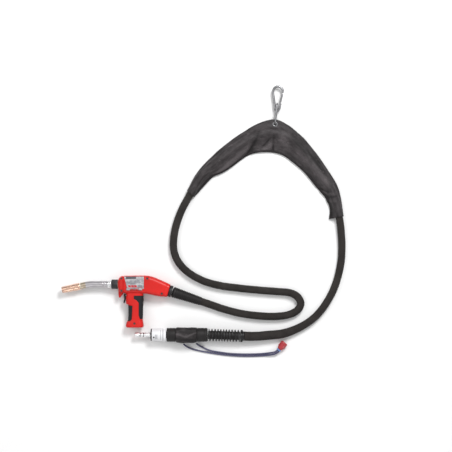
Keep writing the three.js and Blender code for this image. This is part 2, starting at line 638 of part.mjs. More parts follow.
// The hanging fittings: eyelet, link, spring-gated hook.
function hanger(root) {
  const ring = new THREE.LatheGeometry([
    [5, -3.6], [8.2, -3.6], [8.2, 3.6], [5, 3.6], [5, -3.6],
  ].map(([r, h]) => new THREE.Vector2(r, h)), 20);
  ring.rotateX(Math.PI / 2);
  const eyelet = subgroup(root, [...EYELET, SLING_HEIGHT]);
  piece(eyelet, 'sling_eyelet', solid(ring), LOOKS.steel);
  const link = subgroup(root, [...EYELET, SLING_HEIGHT], [0, 0, LINK_LEAN]);
  piece(link, 'hook_link', oval(), LOOKS.steel);
  const hook = subgroup(root, [EYELET[0], 0, SLING_HEIGHT]);
  piece(hook, 'snap_hook', cut(swept(smooth(HOOK_ROUTE), HOOK_BAR, 34, 8), gateRoom()), LOOKS.steel);
  const gateLine = new THREE.LineCurve3(new THREE.Vector3(18.2, 649.5, 0), new THREE.Vector3(26.2, 683.5, 0));
  const gate = swept(gateLine, 3.4, 1, 8);
  const eye = rodZ(18, 645.5, -3.2, 3.2, 4.6, 12);
  piece(hook, 'hook_gate', cut(join(gate, eye, gateNeck()), rodZ(18, 645.5, -6, 6, 1.9, 12)), LOOKS.steel);
  piece(hook, 'gate_pin', rodZ(18, 645.5, -6, 6, 1.6, 12), LOOKS.steel);
}

const gateNeck = () => block(15.6, 21, 645.6, 651, -3, 3);

// The fork in the hook's lower end that holds the gate, and its pin hole.
const gateRoom = () => join(block(9, 26, 640, 653, -3.5, 3.5), rodZ(18, 645.5, -8, 8, 1.9, 12));

// A closed link that stands on edge, its first end through the eyelet.
function oval() {
  const straightLength = LINK_LENGTH - 2 * LINK_HALF_HEIGHT;
  const points = [];
  for (let i = 0; i < 16; i += 1) {
    const angle = ((i + 0.5) / 16) * 2 * Math.PI - Math.PI / 2;
    const near = Math.cos(angle) < 0;
    const y = LINK_HALF_HEIGHT * (1 + Math.cos(angle)) + (near ? 0 : straightLength);
    points.push(new THREE.Vector3(0, y - 1, LINK_HALF_HEIGHT * Math.sin(angle)));
  }
  const path = new THREE.CatmullRomCurve3(points, true, 'centripetal');
  return closedTube(path, LINK_BAR, 20, 8);
}

// A ring-shaped tube along a closed, flat path in the YZ plane.
function closedTube(path, radius, steps, sides) {
  const xAxis = new THREE.Vector3(1, 0, 0);
  const points = [];
  const faces = [];
  for (let i = 0; i < steps; i += 1) {
    const centre = path.getPointAt(i / steps);
    const outward = new THREE.Vector3().crossVectors(path.getTangentAt(i / steps), xAxis).normalize();
    for (let j = 0; j < sides; j += 1) {
      const angle = (2 * Math.PI * j) / sides;
      const offset = outward.clone().multiplyScalar(radius * Math.cos(angle));
      offset.addScaledVector(xAxis, radius * Math.sin(angle));
      points.push(...centre.clone().add(offset).toArray());
      const next = ((i + 1) % steps) * sides;
      const [a, b] = [i * sides + j, i * sides + ((j + 1) % sides)];
      const [c, d] = [next + j, next + ((j + 1) % sides)];
      faces.push(a, b, c, b, d, c);
    }
  }
  return solid(geometryFrom(points, faces));
}

// The hook's bar, from the fork at the gate's hinge round to the gate's nose.
const HOOK_ROUTE = [
  [18.2, 651, 0], [17.4, 642, 0], [14.8, 630, 0], [8.5, 622.6, 0], [0.5, 628, 0], [-1.5, 642, 0],
  [-3.6, 660, 0], [-6.6, 678, 0], [-7.4, 691, 0], [-3.8, 702.4, 0], [4.4, 708.8, 0], [12, 709.6, 0],
  [20.4, 706, 0], [26.4, 698, 0], [27.6, 688, 0],
];

// ------------------------------------------------------------ rear connector

function rearConnector(root) {
  const axis = subgroup(root, [0, CONNECTOR_Y, CONNECTOR_Z]);
  const groove = (x) => [[x, PIN_RADIUS], [x, 6.4], [x + 2.4, 6.4], [x + 2.4, PIN_RADIUS]];
  const pin = [
    [0, 3.6], [0, 7.2], [1, PIN_RADIUS], ...groove(18), ...groove(30), [PIN_LENGTH, PIN_RADIUS],
    [PIN_LENGTH, 6], [80, 6], [80, 3.6], [0, 3.6],
  ];
  piece(axis, 'feeder_pin', turned(pin), LOOKS.steel);
  piece(axis, 'pin_seal_1', tubeX(18.4, 20, 8.2, 6.8, 12), LOOKS.black);
  piece(axis, 'pin_seal_2', tubeX(30.4, 32, 8.2, 6.8, 12), LOOKS.black);
  const body = [
    [57.4, 6.3], [57.4, 21], [58.6, 22], [61.7, 22], [61.7, 21.4], [101.8, 21.4], [101.8, 11.7], [124, 11.7],
    [124, 3.2], [80.6, 3.2], [80.6, 6.3], [57.4, 6.3],
  ];
  piece(axis, 'connector_block', turned(body), LOOKS.black);
  piece(axis, 'connector_label', tubeX(62, 101.7, 22.8, 21.7), LOOKS.label);
  piece(axis, 'marker_ring', tubeX(102.4, 112.8, 23.2, 12), LOOKS.label);
  const boot = [
    [115, 12], [115, 23.6], [116.5, BOOT_RADIUS], [146.6, BOOT_RADIUS], [146.6, 19], [224, 19],
    [224, BOOT_RADIUS], [260, BOOT_RADIUS], [262, 22], [262, 4], [124.6, 4], [124.6, 12], [115, 12],
  ];
  piece(axis, 'connector_boot', turned(boot), LOOKS.black);
  piece(axis, 'boot_wrap', bootWrap(), LOOKS.leather);
  rearRelief(subgroup(axis, [262.9, 0, 0], [0, 0, REAR_DROOP]));
}

// A coil spring on a sleeve, and the clamp that holds the cable behind it.
function rearRelief(tail) {
  piece(tail, 'relief_sleeve', turned([[0, 0], [0, 15.3], [115.2, 15], [115.2, 0]], 16), LOOKS.black);
  const coil = new Coil(SPRING_RADIUS, SPRING_LENGTH / SPRING_TURNS, SPRING_TURNS);
  const spring = swept(coil, SPRING_WIRE, SPRING_TURNS * 12, 4).rotate([0, 90, 0]).translate([2.6, 0, 0]);
  piece(tail, 'relief_spring', spring, LOOKS.black);
  const clamp = turned([[115.6, 0], [115.6, 17.5], [129.6, 17], [129.6, 0]], 20);
  const lugs = [block(117, 124.5, 15, 21.8, -4, 4), block(117, 124.5, -21.8, -15, -4, 4)];
  piece(tail, 'spring_clamp', join(clamp, ...lugs), LOOKS.steel);
}

// The leather cuff round the boot, fuller on the side where the leads leave.
function bootWrap() {
  const stations = [
    [147, 26, 0], [152, 27.6, -0.3], [170, 28.4, -1.8], [186, 28, -1.4], [205, 28.4, -1.8], [219, 27.4, -0.6],
    [223.6, 25.8, 0],
  ];
  const rings = stations.map(([x, half, y]) => {
    const centre = new THREE.Vector3(x, y, 0);
    return section(centre, new THREE.Vector3(0, 1, 0), UP, half, 25.5, 19);
  });
  return cut(skin(rings), rodX(140, 230, 19.4));
}

// ------------------------------------------------------------- control lead

function controlLeads(root) {
  piece(root, 'control_lead_a', swept(smooth(LEAD_A_ROUTE), LEAD_RADIUS, 26, 8), LOOKS.lead);
  piece(root, 'control_lead_b', swept(smooth(LEAD_B_ROUTE), LEAD_RADIUS, 24, 8), LOOKS.lead);
  const plug = subgroup(root, PLUG_PLACE, [0, 0, PLUG_ANGLE]);
  const collar = block(-6.8, -1.4, -7.4, 7.4, -5, 5);
  const leadRoom = [-3.25, 3.25].map((y) => rodX(-9, 1, LEAD_RADIUS + 0.4, 12).translate([0, y, 0]));
  piece(plug, 'lead_collar', cut(collar, ...leadRoom), LOOKS.collar);
  const shell = [
    [-0.8, 0], [-0.8, 7.4], [3, 9.6], [8, PLUG_RADIUS], [30, PLUG_RADIUS], [30, 10], [21, 10], [21, 0],
  ];
  const fin = (a) => block(9, 22, -2, 2, PLUG_RADIUS - 0.6, PLUG_RING_RADIUS - 0.4).rotate([a, 0, 0]);
  const fins = [30, 90, 150, 210, 270, 330].map(fin);
  const ring = tubeX(22.6, 27.6, PLUG_RING_RADIUS, PLUG_RADIUS - 0.8, 20);
  piece(plug, 'plug_body', cut(join(turned(shell, 20), ring, ...fins), socketKey()), LOOKS.red);
  const contact = (a) => rodX(22.7, 28.5, 1.1, 8).translate([0, 5, 0]).rotate([a, 0, 0]);
  const contacts = [45, 135, 225, 315].map(contact);
  piece(plug, 'plug_contacts', join(rodX(21.3, 23.2, 9.4, 16), ...contacts), LOOKS.brass);
}

const socketKey = () => block(24, 31, -1.2, 1.2, 8, 10.6);

// ------------------------------------------------------------------ assembly

const group = new THREE.Group();
const gun = subgroup(group, [0, 0, BARREL_HEIGHT]);
shells(gun);
gripPads(gun);
shellScrews(gun);
driveCover(gun);
trigger(gun);
wireDrive(gun);
driveTrain(gun);
barrel(gun);
rearOfGun(gun);
cable(group);
hanger(group);
rearConnector(group);
controlLeads(group);

export default group;
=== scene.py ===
"""A push-pull MIG welding torch on a pale floor, seen from straight above.

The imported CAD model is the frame.  Pieces that show a fine surface are rebuilt here
in millimetres, at the places that the frame gives, and ride on the CAD bodies.
"""
import math

import bpy
from mathutils import Matrix, Vector, noise


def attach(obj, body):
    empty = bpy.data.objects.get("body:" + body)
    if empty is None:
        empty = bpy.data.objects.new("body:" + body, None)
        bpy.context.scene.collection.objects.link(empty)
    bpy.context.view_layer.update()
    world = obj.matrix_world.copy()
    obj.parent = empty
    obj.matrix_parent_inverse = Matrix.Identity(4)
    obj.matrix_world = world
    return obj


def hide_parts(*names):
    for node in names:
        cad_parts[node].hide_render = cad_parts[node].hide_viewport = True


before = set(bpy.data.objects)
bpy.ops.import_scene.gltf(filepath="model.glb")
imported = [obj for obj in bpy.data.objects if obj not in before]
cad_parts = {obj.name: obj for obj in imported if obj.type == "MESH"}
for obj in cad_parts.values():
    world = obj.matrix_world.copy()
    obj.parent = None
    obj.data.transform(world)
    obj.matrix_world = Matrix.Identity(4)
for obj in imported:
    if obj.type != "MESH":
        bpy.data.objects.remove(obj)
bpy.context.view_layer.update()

MM = 0.001

# ------------------------------------------------------------------ dimensions (mm)

VIEW_CENTRE = (327.6, 208.8)
VIEW_WIDTH = 1627.2
CAMERA_LENS = 150
SENSOR_WIDTH = 36

HOSE_DIAMETER = 27.4
LEAD_DIAMETER = 6
LEATHER = 2.0
FLOOR_GAP = 0.12

# The cable's sleeve is this much fuller towards the plug, over this span of its length.
SLEEVE_FULLER = 3.1
SLEEVE_FULLER_SPAN = (2340, 2470)

BARREL_HEIGHT = 27
REAR_FACE = (122.4, -23.4)
REAR_ANGLE = -16
REAR_WAY = Vector((math.cos(math.radians(REAR_ANGLE)), math.sin(math.radians(REAR_ANGLE))))
NECK_START = -22.6
NECK_RADIUS = 12
NECK_GROOVES = (-103.5, -113)
RELIEF_START = 13.7
RELIEF_YAW = -18.7
RELIEF_DROP = 5
BEND_START = -150
BEND_RADIUS = 120
BEND_ANGLE = 12
NOZZLE_TIP = 87.6

CONNECTOR_PLACE = (0, -181.4, 26)
PLUG_PLACE = (519.7, -232.9, 13.6)
PLUG_ANGLE = 50
EYELET = (504, 574)
SLING_HEIGHT = 17.4
SLING_SPAN = (22.05, 32.1)

# The cable's centre line, from the gun's strain relief to the rear clamp.
HOSE_ROUTE = [
    (237.9, -61.8, 17.6), (275.5, -74.7, 15.1), (317, -89, 14), (364.5, -102, 13.9),
    (430, -112.5, 13.9), (500, -116, 13.9), (553, -109.5, 13.9), (584.5, -93, 13.9),
    (596.5, -70, 13.9), (585, -46, 13.9), (558, -31.5, 13.9), (510, -26.5, 13.9),
    (440, -21.3, 13.9), (372, -14.2, 13.9), (303.5, -4.6, 13.9), (245, 12, 13.9),
    (189.5, 43.8, 13.9), (156, 80.3, 13.9), (141.3, 116, 13.9), (139, 154, 13.9),
    (147.3, 204.8, 14), (166, 260, 15.6), (198, 321, 17.3), (236, 385, 17.4),
    (295, 441, 17.4), (366, 494, 17.4), (436, 531, 17.4), (504, 543, 17.4),
    (562, 521.5, 17.4), (616, 469, 17.4), (665, 401, 17.4), (708, 331, 17.4),
    (732.5, 250, 17.3), (743.5, 150, 15.6), (738.5, 65.5, 13.9), (708, -32.2, 13.9),
    (642.5, -122, 13.9), (551, -172.6, 15.2), (465, -184.8, 20.2), (425, -187, 24.4),
    (393.2, -186, 26),
]

LEAD_A_ROUTE = [
    (176, -214.8, 18), (183, -222, 11), (200, -231.5, 4.2), (226, -239, 3.3),
    (275, -248, 3.3), (330, -255.5, 3.3), (385, -259.2, 3.3), (436, -258.8, 3.3),
    (468, -257, 4.2), (488, -254.3, 8.6), (503, -250.6, 12.6), (514.5, -244.2, 13.6),
    (521.5, -235.8, 13.6),
]

LEAD_B_ROUTE = [
    (221.8, -213.8, 16), (230, -220, 9.5), (243, -227.5, 4.2), (268, -238.6, 3.3),
    (312, -246.6, 3.3), (345, -250.6, 3.3), (386, -252.4, 3.3), (435, -252.1, 3.3),
    (466, -250.2, 4.2), (485, -247.6, 8.6), (498.8, -245.2, 12.6), (509.5, -240, 13.6),
    (516.5, -231.7, 13.6),
]

# ------------------------------------------------------------------------- camera


def make_camera():
    """Looks straight down, with the view's width as the photograph frames it."""
    data = bpy.data.cameras.new("camera")
    data.lens = CAMERA_LENS
    data.sensor_width = SENSOR_WIDTH
    data.clip_end = 60
    camera = bpy.data.objects.new("camera", data)
    bpy.context.collection.objects.link(camera)
    height = VIEW_WIDTH * MM * CAMERA_LENS / SENSOR_WIDTH
    camera.location = (VIEW_CENTRE[0] * MM, VIEW_CENTRE[1] * MM, height)
    bpy.context.scene.camera = camera


make_camera()

# --------------------------------------------------------------------- mesh helpers


def shaded(piece, sharp):
    """Shades a piece smoothly, apart from the edges that are sharper than this angle."""
    piece.data.shade_smooth()
    piece.data.set_sharp_from_angle(angle=math.radians(sharp))
    return piece


def link_mesh(name, points, faces, uvs=None, sharp=38):
    """Makes an object from points in mm; uvs holds one (u, v) for each face corner."""
    mesh = bpy.data.meshes.new(name)
    mesh.from_pydata([Vector(p) * MM for p in points], [], faces)
    if uvs is not None:
        layer = mesh.uv_layers.new(name="Surface")
        layer.data.foreach_set("uv", [number for pair in uvs for number in pair])
    made = shaded(bpy.data.objects.new(name, mesh), sharp)
    mesh.update()
    bpy.context.collection.objects.link(made)
    return made


def on_circle(x, radius, angle):
    """A point on a circle about the X axis."""
    return x, radius * math.cos(angle), radius * math.sin(angle)


def corner_places(left, right, low, high):
    """The Surface map's places of a face's four corners."""
    return [(left, low), (right, low), (right, high), (left, high)]


def eased(profile, radius=0.5, steps=3, closed=False):
    """Rounds the corners of a polyline of (x, y) pairs."""
    corners = [Vector(p) for p in profile]
    count = len(corners)
    result = []
    for i, corner in enumerate(corners):
        if not closed and i in (0, count - 1):
            result.append(corner)
            continue
        before = corners[i - 1] - corner
        after = corners[(i + 1) % count] - corner
        reach = min(radius, 0.45 * before.length, 0.45 * after.length)
        start = corner + before.normalized() * reach
        end = corner + after.normalized() * reach
        for k in range(steps + 1):
            t = k / steps
            result.append(start * (1 - t) ** 2 + corner * 2 * t * (1 - t) + end * t * t)
    return result


def turned(name, profile, place=None, sides=64, ring=False, round_off=0.5, sharp=38):
    """A piece turned about X from (along, radius) pairs; a ring's profile closes on itself."""
    outline = eased(profile, round_off, closed=ring)
    points, faces, uvs, rows, run = [], [], [], [], [0.0]
    for i, p in enumerate(outline):
        if i:
            run.append(run[-1] + (p - outline[i - 1]).length)
        if p.y < 1e-4:
            rows.append([len(points)] * sides)
            points.append((p.x, 0, 0))
            continue
        rows.append(list(range(len(points), len(points) + sides)))
        for s in range(sides):
            angle = 2 * math.pi * s / sides
            points.append(on_circle(p.x, p.y, angle))
    widest = max(p.y for p in outline)
    pairs = list(zip(range(len(rows)), range(1, len(rows))))
    if ring:
        pairs.append((len(rows) - 1, 0))
    for a, b in pairs:
        low, high = run[a], run[b] if b > a else run[a] + 1
        for s in range(sides):
            t = (s + 1) % sides
            face = [rows[a][s], rows[a][t], rows[b][t], rows[b][s]]
            around = 2 * math.pi * widest / sides
            corner_uv = corner_places(s * around, (s + 1) * around, low, high)
            kept = [k for k in range(4) if face[k] != face[k - 1]]
            faces.append([face[k] for k in kept])
            uvs.extend((corner_uv[k][0] * MM, corner_uv[k][1] * MM) for k in kept)
    return facing_out(link_mesh(name, points, faces, uvs, sharp), place)


def facing_out(piece, place=None):
    """Turns a closed mesh's faces outwards, by its signed volume, and sets its place."""
    volume = 0.0
    verts = piece.data.vertices
    for face in piece.data.polygons:
        ids = face.vertices
        for k in range(1, len(ids) - 1):
            volume += verts[ids[0]].co.dot(verts[ids[k]].co.cross(verts[ids[k + 1]].co))
    if volume < 0:
        piece.data.flip_normals()
    if place is not None:
        piece.matrix_world = place
    return piece


def turned_part(node, kind, body, look, profile, place, sides=64, ring=True, **shape):
    """A turned piece that stands for one CAD node; it is named after the node and its kind."""
    piece = turned(f"{node}_{kind}", profile, place, sides, ring, **shape)
    return fitted(piece, look, body, node)


def smooth_route(points, spacing, closed=False):
    """Points every few mm on a centripetal Catmull-Rom curve through the given points."""
    knots = [Vector(p) for p in points]
    count = len(knots)
    samples = []
    for i in range(count if closed else count - 1):
        for k in range(16):
            samples.append(route_point(knots, i + k / 16, closed))
    samples.append(route_point(knots, count if closed else count - 1, closed))
    return resampled(samples, spacing)


def route_point(points, place, closed=False):
    """The curve's point at a place: 2.5 lies between the third and fourth points."""
    knots = [Vector(p) for p in points]
    count = len(knots)
    i = int(place) if closed else min(int(place), count - 2)
    t = place - i

    def knot(k):
        if closed:
            return knots[k % count]
        if k < 0:
            return knots[0] * 2 - knots[1]
        if k >= count:
            return knots[-1] * 2 - knots[-2]
        return knots[k]

    p0, p1, p2, p3 = (knot(i + k) for k in (-1, 0, 1, 2))
    d0, d1, d2 = (max((b - a).length, 1e-6) ** 0.5 for a, b in ((p0, p1), (p1, p2), (p2, p3)))
    m1 = ((p1 - p0) / d0 - (p2 - p0) / (d0 + d1) + (p2 - p1) / d1) * d1
    m2 = ((p2 - p1) / d1 - (p3 - p1) / (d1 + d2) + (p3 - p2) / d2) * d1
    c2 = (p2 - p1) * 3 - m1 * 2 - m2
    c3 = (p1 - p2) * 2 + m1 + m2
    return p1 + m1 * t + c2 * t * t + c3 * t ** 3


def resampled(points, spacing=None, steps=None):
    """The polyline's points moved to even steps, of about this spacing or of this number."""
    run = [0.0]
    for a, b in zip(points, points[1:]):
        run.append(run[-1] + (b - a).length)
    steps = steps or max(2, round(run[-1] / spacing))
    result, k = [], 0
    for step in range(steps + 1):
        want = run[-1] * step / steps
        while k < len(run) - 2 and run[k + 1] < want:
            k += 1
        share = (want - run[k]) / max(run[k + 1] - run[k], 1e-9)
        result.append(points[k].lerp(points[k + 1], share))
    return result


def smoothstep(low, high, value):
    t = min(1.0, max(0.0, (value - low) / (high - low)))
    return t * t * (3 - 2 * t)


def length_of(points):
    return sum((b - a).length for a, b in zip(points, points[1:]))


def tube(name, path, radius, sides=24, closed=False, place=None, rounded_ends=0.0, sharp=60):
    """A tube along a path in mm; radius is a number or a function of (distance, angle)."""
    size = radius if callable(radius) else (lambda run, angle: radius)
    count = len(path)
    frames = moving_frames(path, closed)
    points, faces, uvs, run = [], [], [], 0.0
    runs = []
    for i, centre in enumerate(path):
        if i:
            run += (centre - path[i - 1]).length
        runs.append(run)
        across, upward = frames[i]
        for s in range(sides):
            angle = 2 * math.pi * s / sides
            reach = size(run, angle)
            aside, above = reach * math.cos(angle), reach * math.sin(angle)
            points.append(centre + across * aside + upward * above)
    around = 2 * math.pi * size(0, 0) / sides
    total = runs[-1]
    for i in range(count if closed else count - 1):
        j = (i + 1) % count
        low = runs[i]
        high = runs[j] if j else total + (path[0] - path[-1]).length
        for s in range(sides):
            t = (s + 1) % sides
            faces.append([i * sides + s, i * sides + t, j * sides + t, j * sides + s])
            uvs += corner_places(s * around, (s + 1) * around, low, high)
    if not closed:
        for ring_index, sign in ((0, -1), (count - 1, 1)):
            close_end(points, faces, uvs, path, ring_index, sign, sides, rounded_ends)
    made = link_mesh(name, points, faces, [(u * MM, v * MM) for u, v in uvs], sharp)
    return facing_out(made, place)


def close_end(points, faces, uvs, path, ring_index, sign, sides, bulge):
    """Closes a tube's end with shrinking rings and a centre point."""
    centre = path[ring_index]
    inner = path[ring_index - sign]
    ahead = (centre - inner).normalized()
    base = ring_index * sides
    ring = list(range(base, base + sides))
    for share, lift in ((0.92, 0.4), (0.7, 0.72), (0.4, 0.92)):
        fresh = []
        for k in range(sides):
            fresh.append(len(points))
            points.append(centre.lerp(points[base + k], share) + ahead * (bulge * lift))
        for k in range(sides):
            n = (k + 1) % sides
            quad = [ring[k], ring[n], fresh[n], fresh[k]]
            faces.append(quad if sign > 0 else quad[::-1])
            uvs.extend([(0, 0)] * 4)
        ring = fresh
    tip = len(points)
    points.append(centre + ahead * bulge)
    for k in range(sides):
        n = (k + 1) % sides
        faces.append([ring[k], ring[n], tip] if sign > 0 else [ring[n], ring[k], tip])
        uvs.extend([(0, 0)] * 3)


def moving_frames(path, closed):
    """Two directions across the path at each point, carried along without twisting."""
    count = len(path)
    tangents = []
    for i in range(count):
        before = path[i - 1] if (i or closed) else path[0]
        after = path[(i + 1) % count] if (i < count - 1 or closed) else path[-1]
        tangents.append((after - before).normalized())
    start = Vector((0, 0, 1)) if abs(tangents[0].z) < 0.9 else Vector((1, 0, 0))
    across = (start - tangents[0] * start.dot(tangents[0])).normalized()
    frames = []
    for tangent in tangents:
        across = (across - tangent * across.dot(tangent)).normalized()
        frames.append((across, tangent.cross(across)))
    return frames


def moved(tool, place):
    """Puts a tool at a place, in time for the boolean that uses it."""
    tool.matrix_world = place
    bpy.context.view_layer.update()
    return tool


def at(x, y, z, turn=0.0, drop=0.0):
    """A placement in mm: turned about Z, then tipped nose down, in degrees."""
    spin = Matrix.Rotation(math.radians(turn), 4, "Z") @ Matrix.Rotation(math.radians(drop), 4, "Y")
    return Matrix.Translation(Vector((x, y, z)) * MM) @ spin


def dress(piece, look):
    """Gives a piece one material."""
    piece.data.materials.clear()
    piece.data.materials.append(LOOKS[look].material)
    return piece


def fitted(piece, look, body, *nodes, slot=None, name=None, place=None):
    """Gives a piece its look, name and place, and the body and CAD nodes it stands for."""
    piece.name = name or piece.name
    if place is not None:
        piece.matrix_world = place
    dress(piece, look)
    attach(piece, body)
    if nodes:
        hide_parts(*nodes)
    return piece


# ------------------------------------------------------------ lofts and booleans


def monotone_rows(rows, steps):
    """More rows between the given ones; each column runs smoothly and never overshoots."""
    times = [0.0]
    for a, b in zip(rows, rows[1:]):
        times.append(times[-1] + max(math.dist(a[:2], b[:2]), 1e-6))
    columns = list(zip(*rows))
    slopes = [monotone_slopes(times, column) for column in columns]
    result = []
    for i in range(len(rows) - 1):
        gap = times[i + 1] - times[i]
        for k in range(steps):
            t = k / steps
            here, there = (1 + 2 * t) * (1 - t) ** 2, t * t * (3 - 2 * t)
            leaving, arriving = t * (1 - t) ** 2 * gap, t * t * (t - 1) * gap
            result.append([
                here * c[i] + leaving * m[i] + there * c[i + 1] + arriving * m[i + 1]
                for c, m in zip(columns, slopes)
            ])
    result.append(list(rows[-1]))
    return result


def monotone_slopes(times, values):
    rises = [(values[i + 1] - values[i]) / (times[i + 1] - times[i]) for i in range(len(values) - 1)]
    inner = [0.0 if a * b <= 0 else 2 * a * b / (a + b) for a, b in zip(rises, rises[1:])]
    return [rises[0], *inner, rises[-1]]


def rounded_ring(centre, across, upward, half_across, half_up, corner, crown=0.0, steps=7):
    """A rounded rectangle's points; crown lowers its upper and lower faces towards their sides."""
    radius = min(corner, half_across - 0.2, half_up - 0.2)
    ring = []
    for quarter in range(4):
        sign_a = 1 if quarter in (0, 3) else -1
        sign_u = 1 if quarter < 2 else -1
        for i in range(steps + 1):
            angle = (quarter + i / steps) * math.pi / 2
            a = sign_a * (half_across - radius) + radius * math.cos(angle)
            u = sign_u * (half_up - radius) + radius * math.sin(angle)
            u *= 1 - crown * (a / half_across) ** 2
            ring.append(centre + across * a + upward * u)
    return ring


def lofted(name, rings):
    """One closed skin through rings of equal point counts."""
    count = len(rings[0])
    points = [p for ring in rings for p in ring]
    first, last = len(points), len(points) + 1
    for ring in (rings[0], rings[-1]):
        points.append(sum(ring, Vector()) / count)
    faces = []
    end = (len(rings) - 1) * count
    for i in range(count):
        n = (i + 1) % count
        for level in range(0, end, count):
            faces.append([level + i, level + n, level + count + n, level + count + i])
        faces += [[first, n, i], [last, end + i, end + n]]
    return facing_out(link_mesh(name, points, faces))


def extruded(name, outline, low, high):
    """A prism on an outline in the XY plane, in the gun's or the world's mm."""
    count = len(outline)
    points = [(x, y, low) for x, y in outline] + [(x, y, high) for x, y in outline]
    faces = [list(range(count))[::-1], list(range(count, 2 * count))]
    faces += [[i, (i + 1) % count, count + (i + 1) % count, count + i] for i in range(count)]
    return facing_out(link_mesh(name, points, faces))


def rectangle(x0, x1, y0, y1):
    return [(x0, y0), (x1, y0), (x1, y1), (x0, y1)]


def brick(x0, x1, y0, y1, z0, z1):
    return extruded("tool", rectangle(x0, x1, y0, y1), z0, z1)


def rod(start, end, radius, sides=32):
    """A plain rod between two points."""
    return tube("tool", [Vector(start), Vector(end)], radius, sides)


def applied(piece):
    """Makes the piece's modifiers permanent."""
    graph = bpy.context.evaluated_depsgraph_get()
    mesh = bpy.data.meshes.new_from_object(piece.evaluated_get(graph))
    old = piece.data
    piece.modifiers.clear()
    piece.data = mesh
    bpy.data.meshes.remove(old)
    return piece


def combined(base, tools, operation):
    """Joins, cuts or intersects with each tool, and removes the tools."""
    for tool in tools:
        change = base.modifiers.new("change", "BOOLEAN")
        change.solver = "MANIFOLD"
        change.operation = operation
        change.object = tool
        applied(base)
        bpy.data.objects.remove(tool)
    return base


def joined(base, *tools):
    return combined(base, tools, "UNION")


def carved(base, *tools):
    return combined(base, tools, "DIFFERENCE")


def kept_inside(base, *tools):
    return combined(base, tools, "INTERSECT")


def softened(piece, voxel, rounds, keep=None):
    """Melts a piece's edges together as moulding does; keep thins its faces afterwards."""
    remesh = piece.modifiers.new("remesh", "REMESH")
    remesh.mode = "VOXEL"
    remesh.voxel_size = voxel * MM
    smooth = piece.modifiers.new("smooth", "SMOOTH")
    smooth.factor = 0.5
    smooth.iterations = rounds
    if keep:
        thin = piece.modifiers.new("thin", "DECIMATE")
        thin.ratio = keep
    applied(piece)
    piece.data.shade_smooth()
    return piece


def add_bevel(piece, width, segments, angle):
    bevel = piece.modifiers.new("bevel", "BEVEL")
    bevel.width = width * MM
    bevel.segments = segments
    bevel.limit_method = "ANGLE"
    bevel.angle_limit = math.radians(angle)
    return bevel


def bevelled(piece, width, segments=2, angle=35):
    """Rounds a piece's sharp edges."""
    add_bevel(piece, width, segments, angle).harden_normals = True
    return applied(piece)


def grown(outline, margin):
    """The outline moved outwards by a margin, mitred at its corners."""
    count = len(outline)
    area = sum(a[0] * b[1] - b[0] * a[1] for a, b in zip(outline, outline[1:] + outline[:1]))
    side = 1 if area > 0 else -1
    result = []
    for i, (x, y) in enumerate(outline):
        before = Vector((y - outline[i - 1][1], outline[i - 1][0] - x)).normalized()
        after = Vector((outline[(i + 1) % count][1] - y, x - outline[(i + 1) % count][0])).normalized()
        reach = side * margin / (1 + before.dot(after))
        result.append((x + (before.x + after.x) * reach, y + (before.y + after.y) * reach))
    return result


# ------------------------------------------------------------------------ materials


SLANT = 0.7071


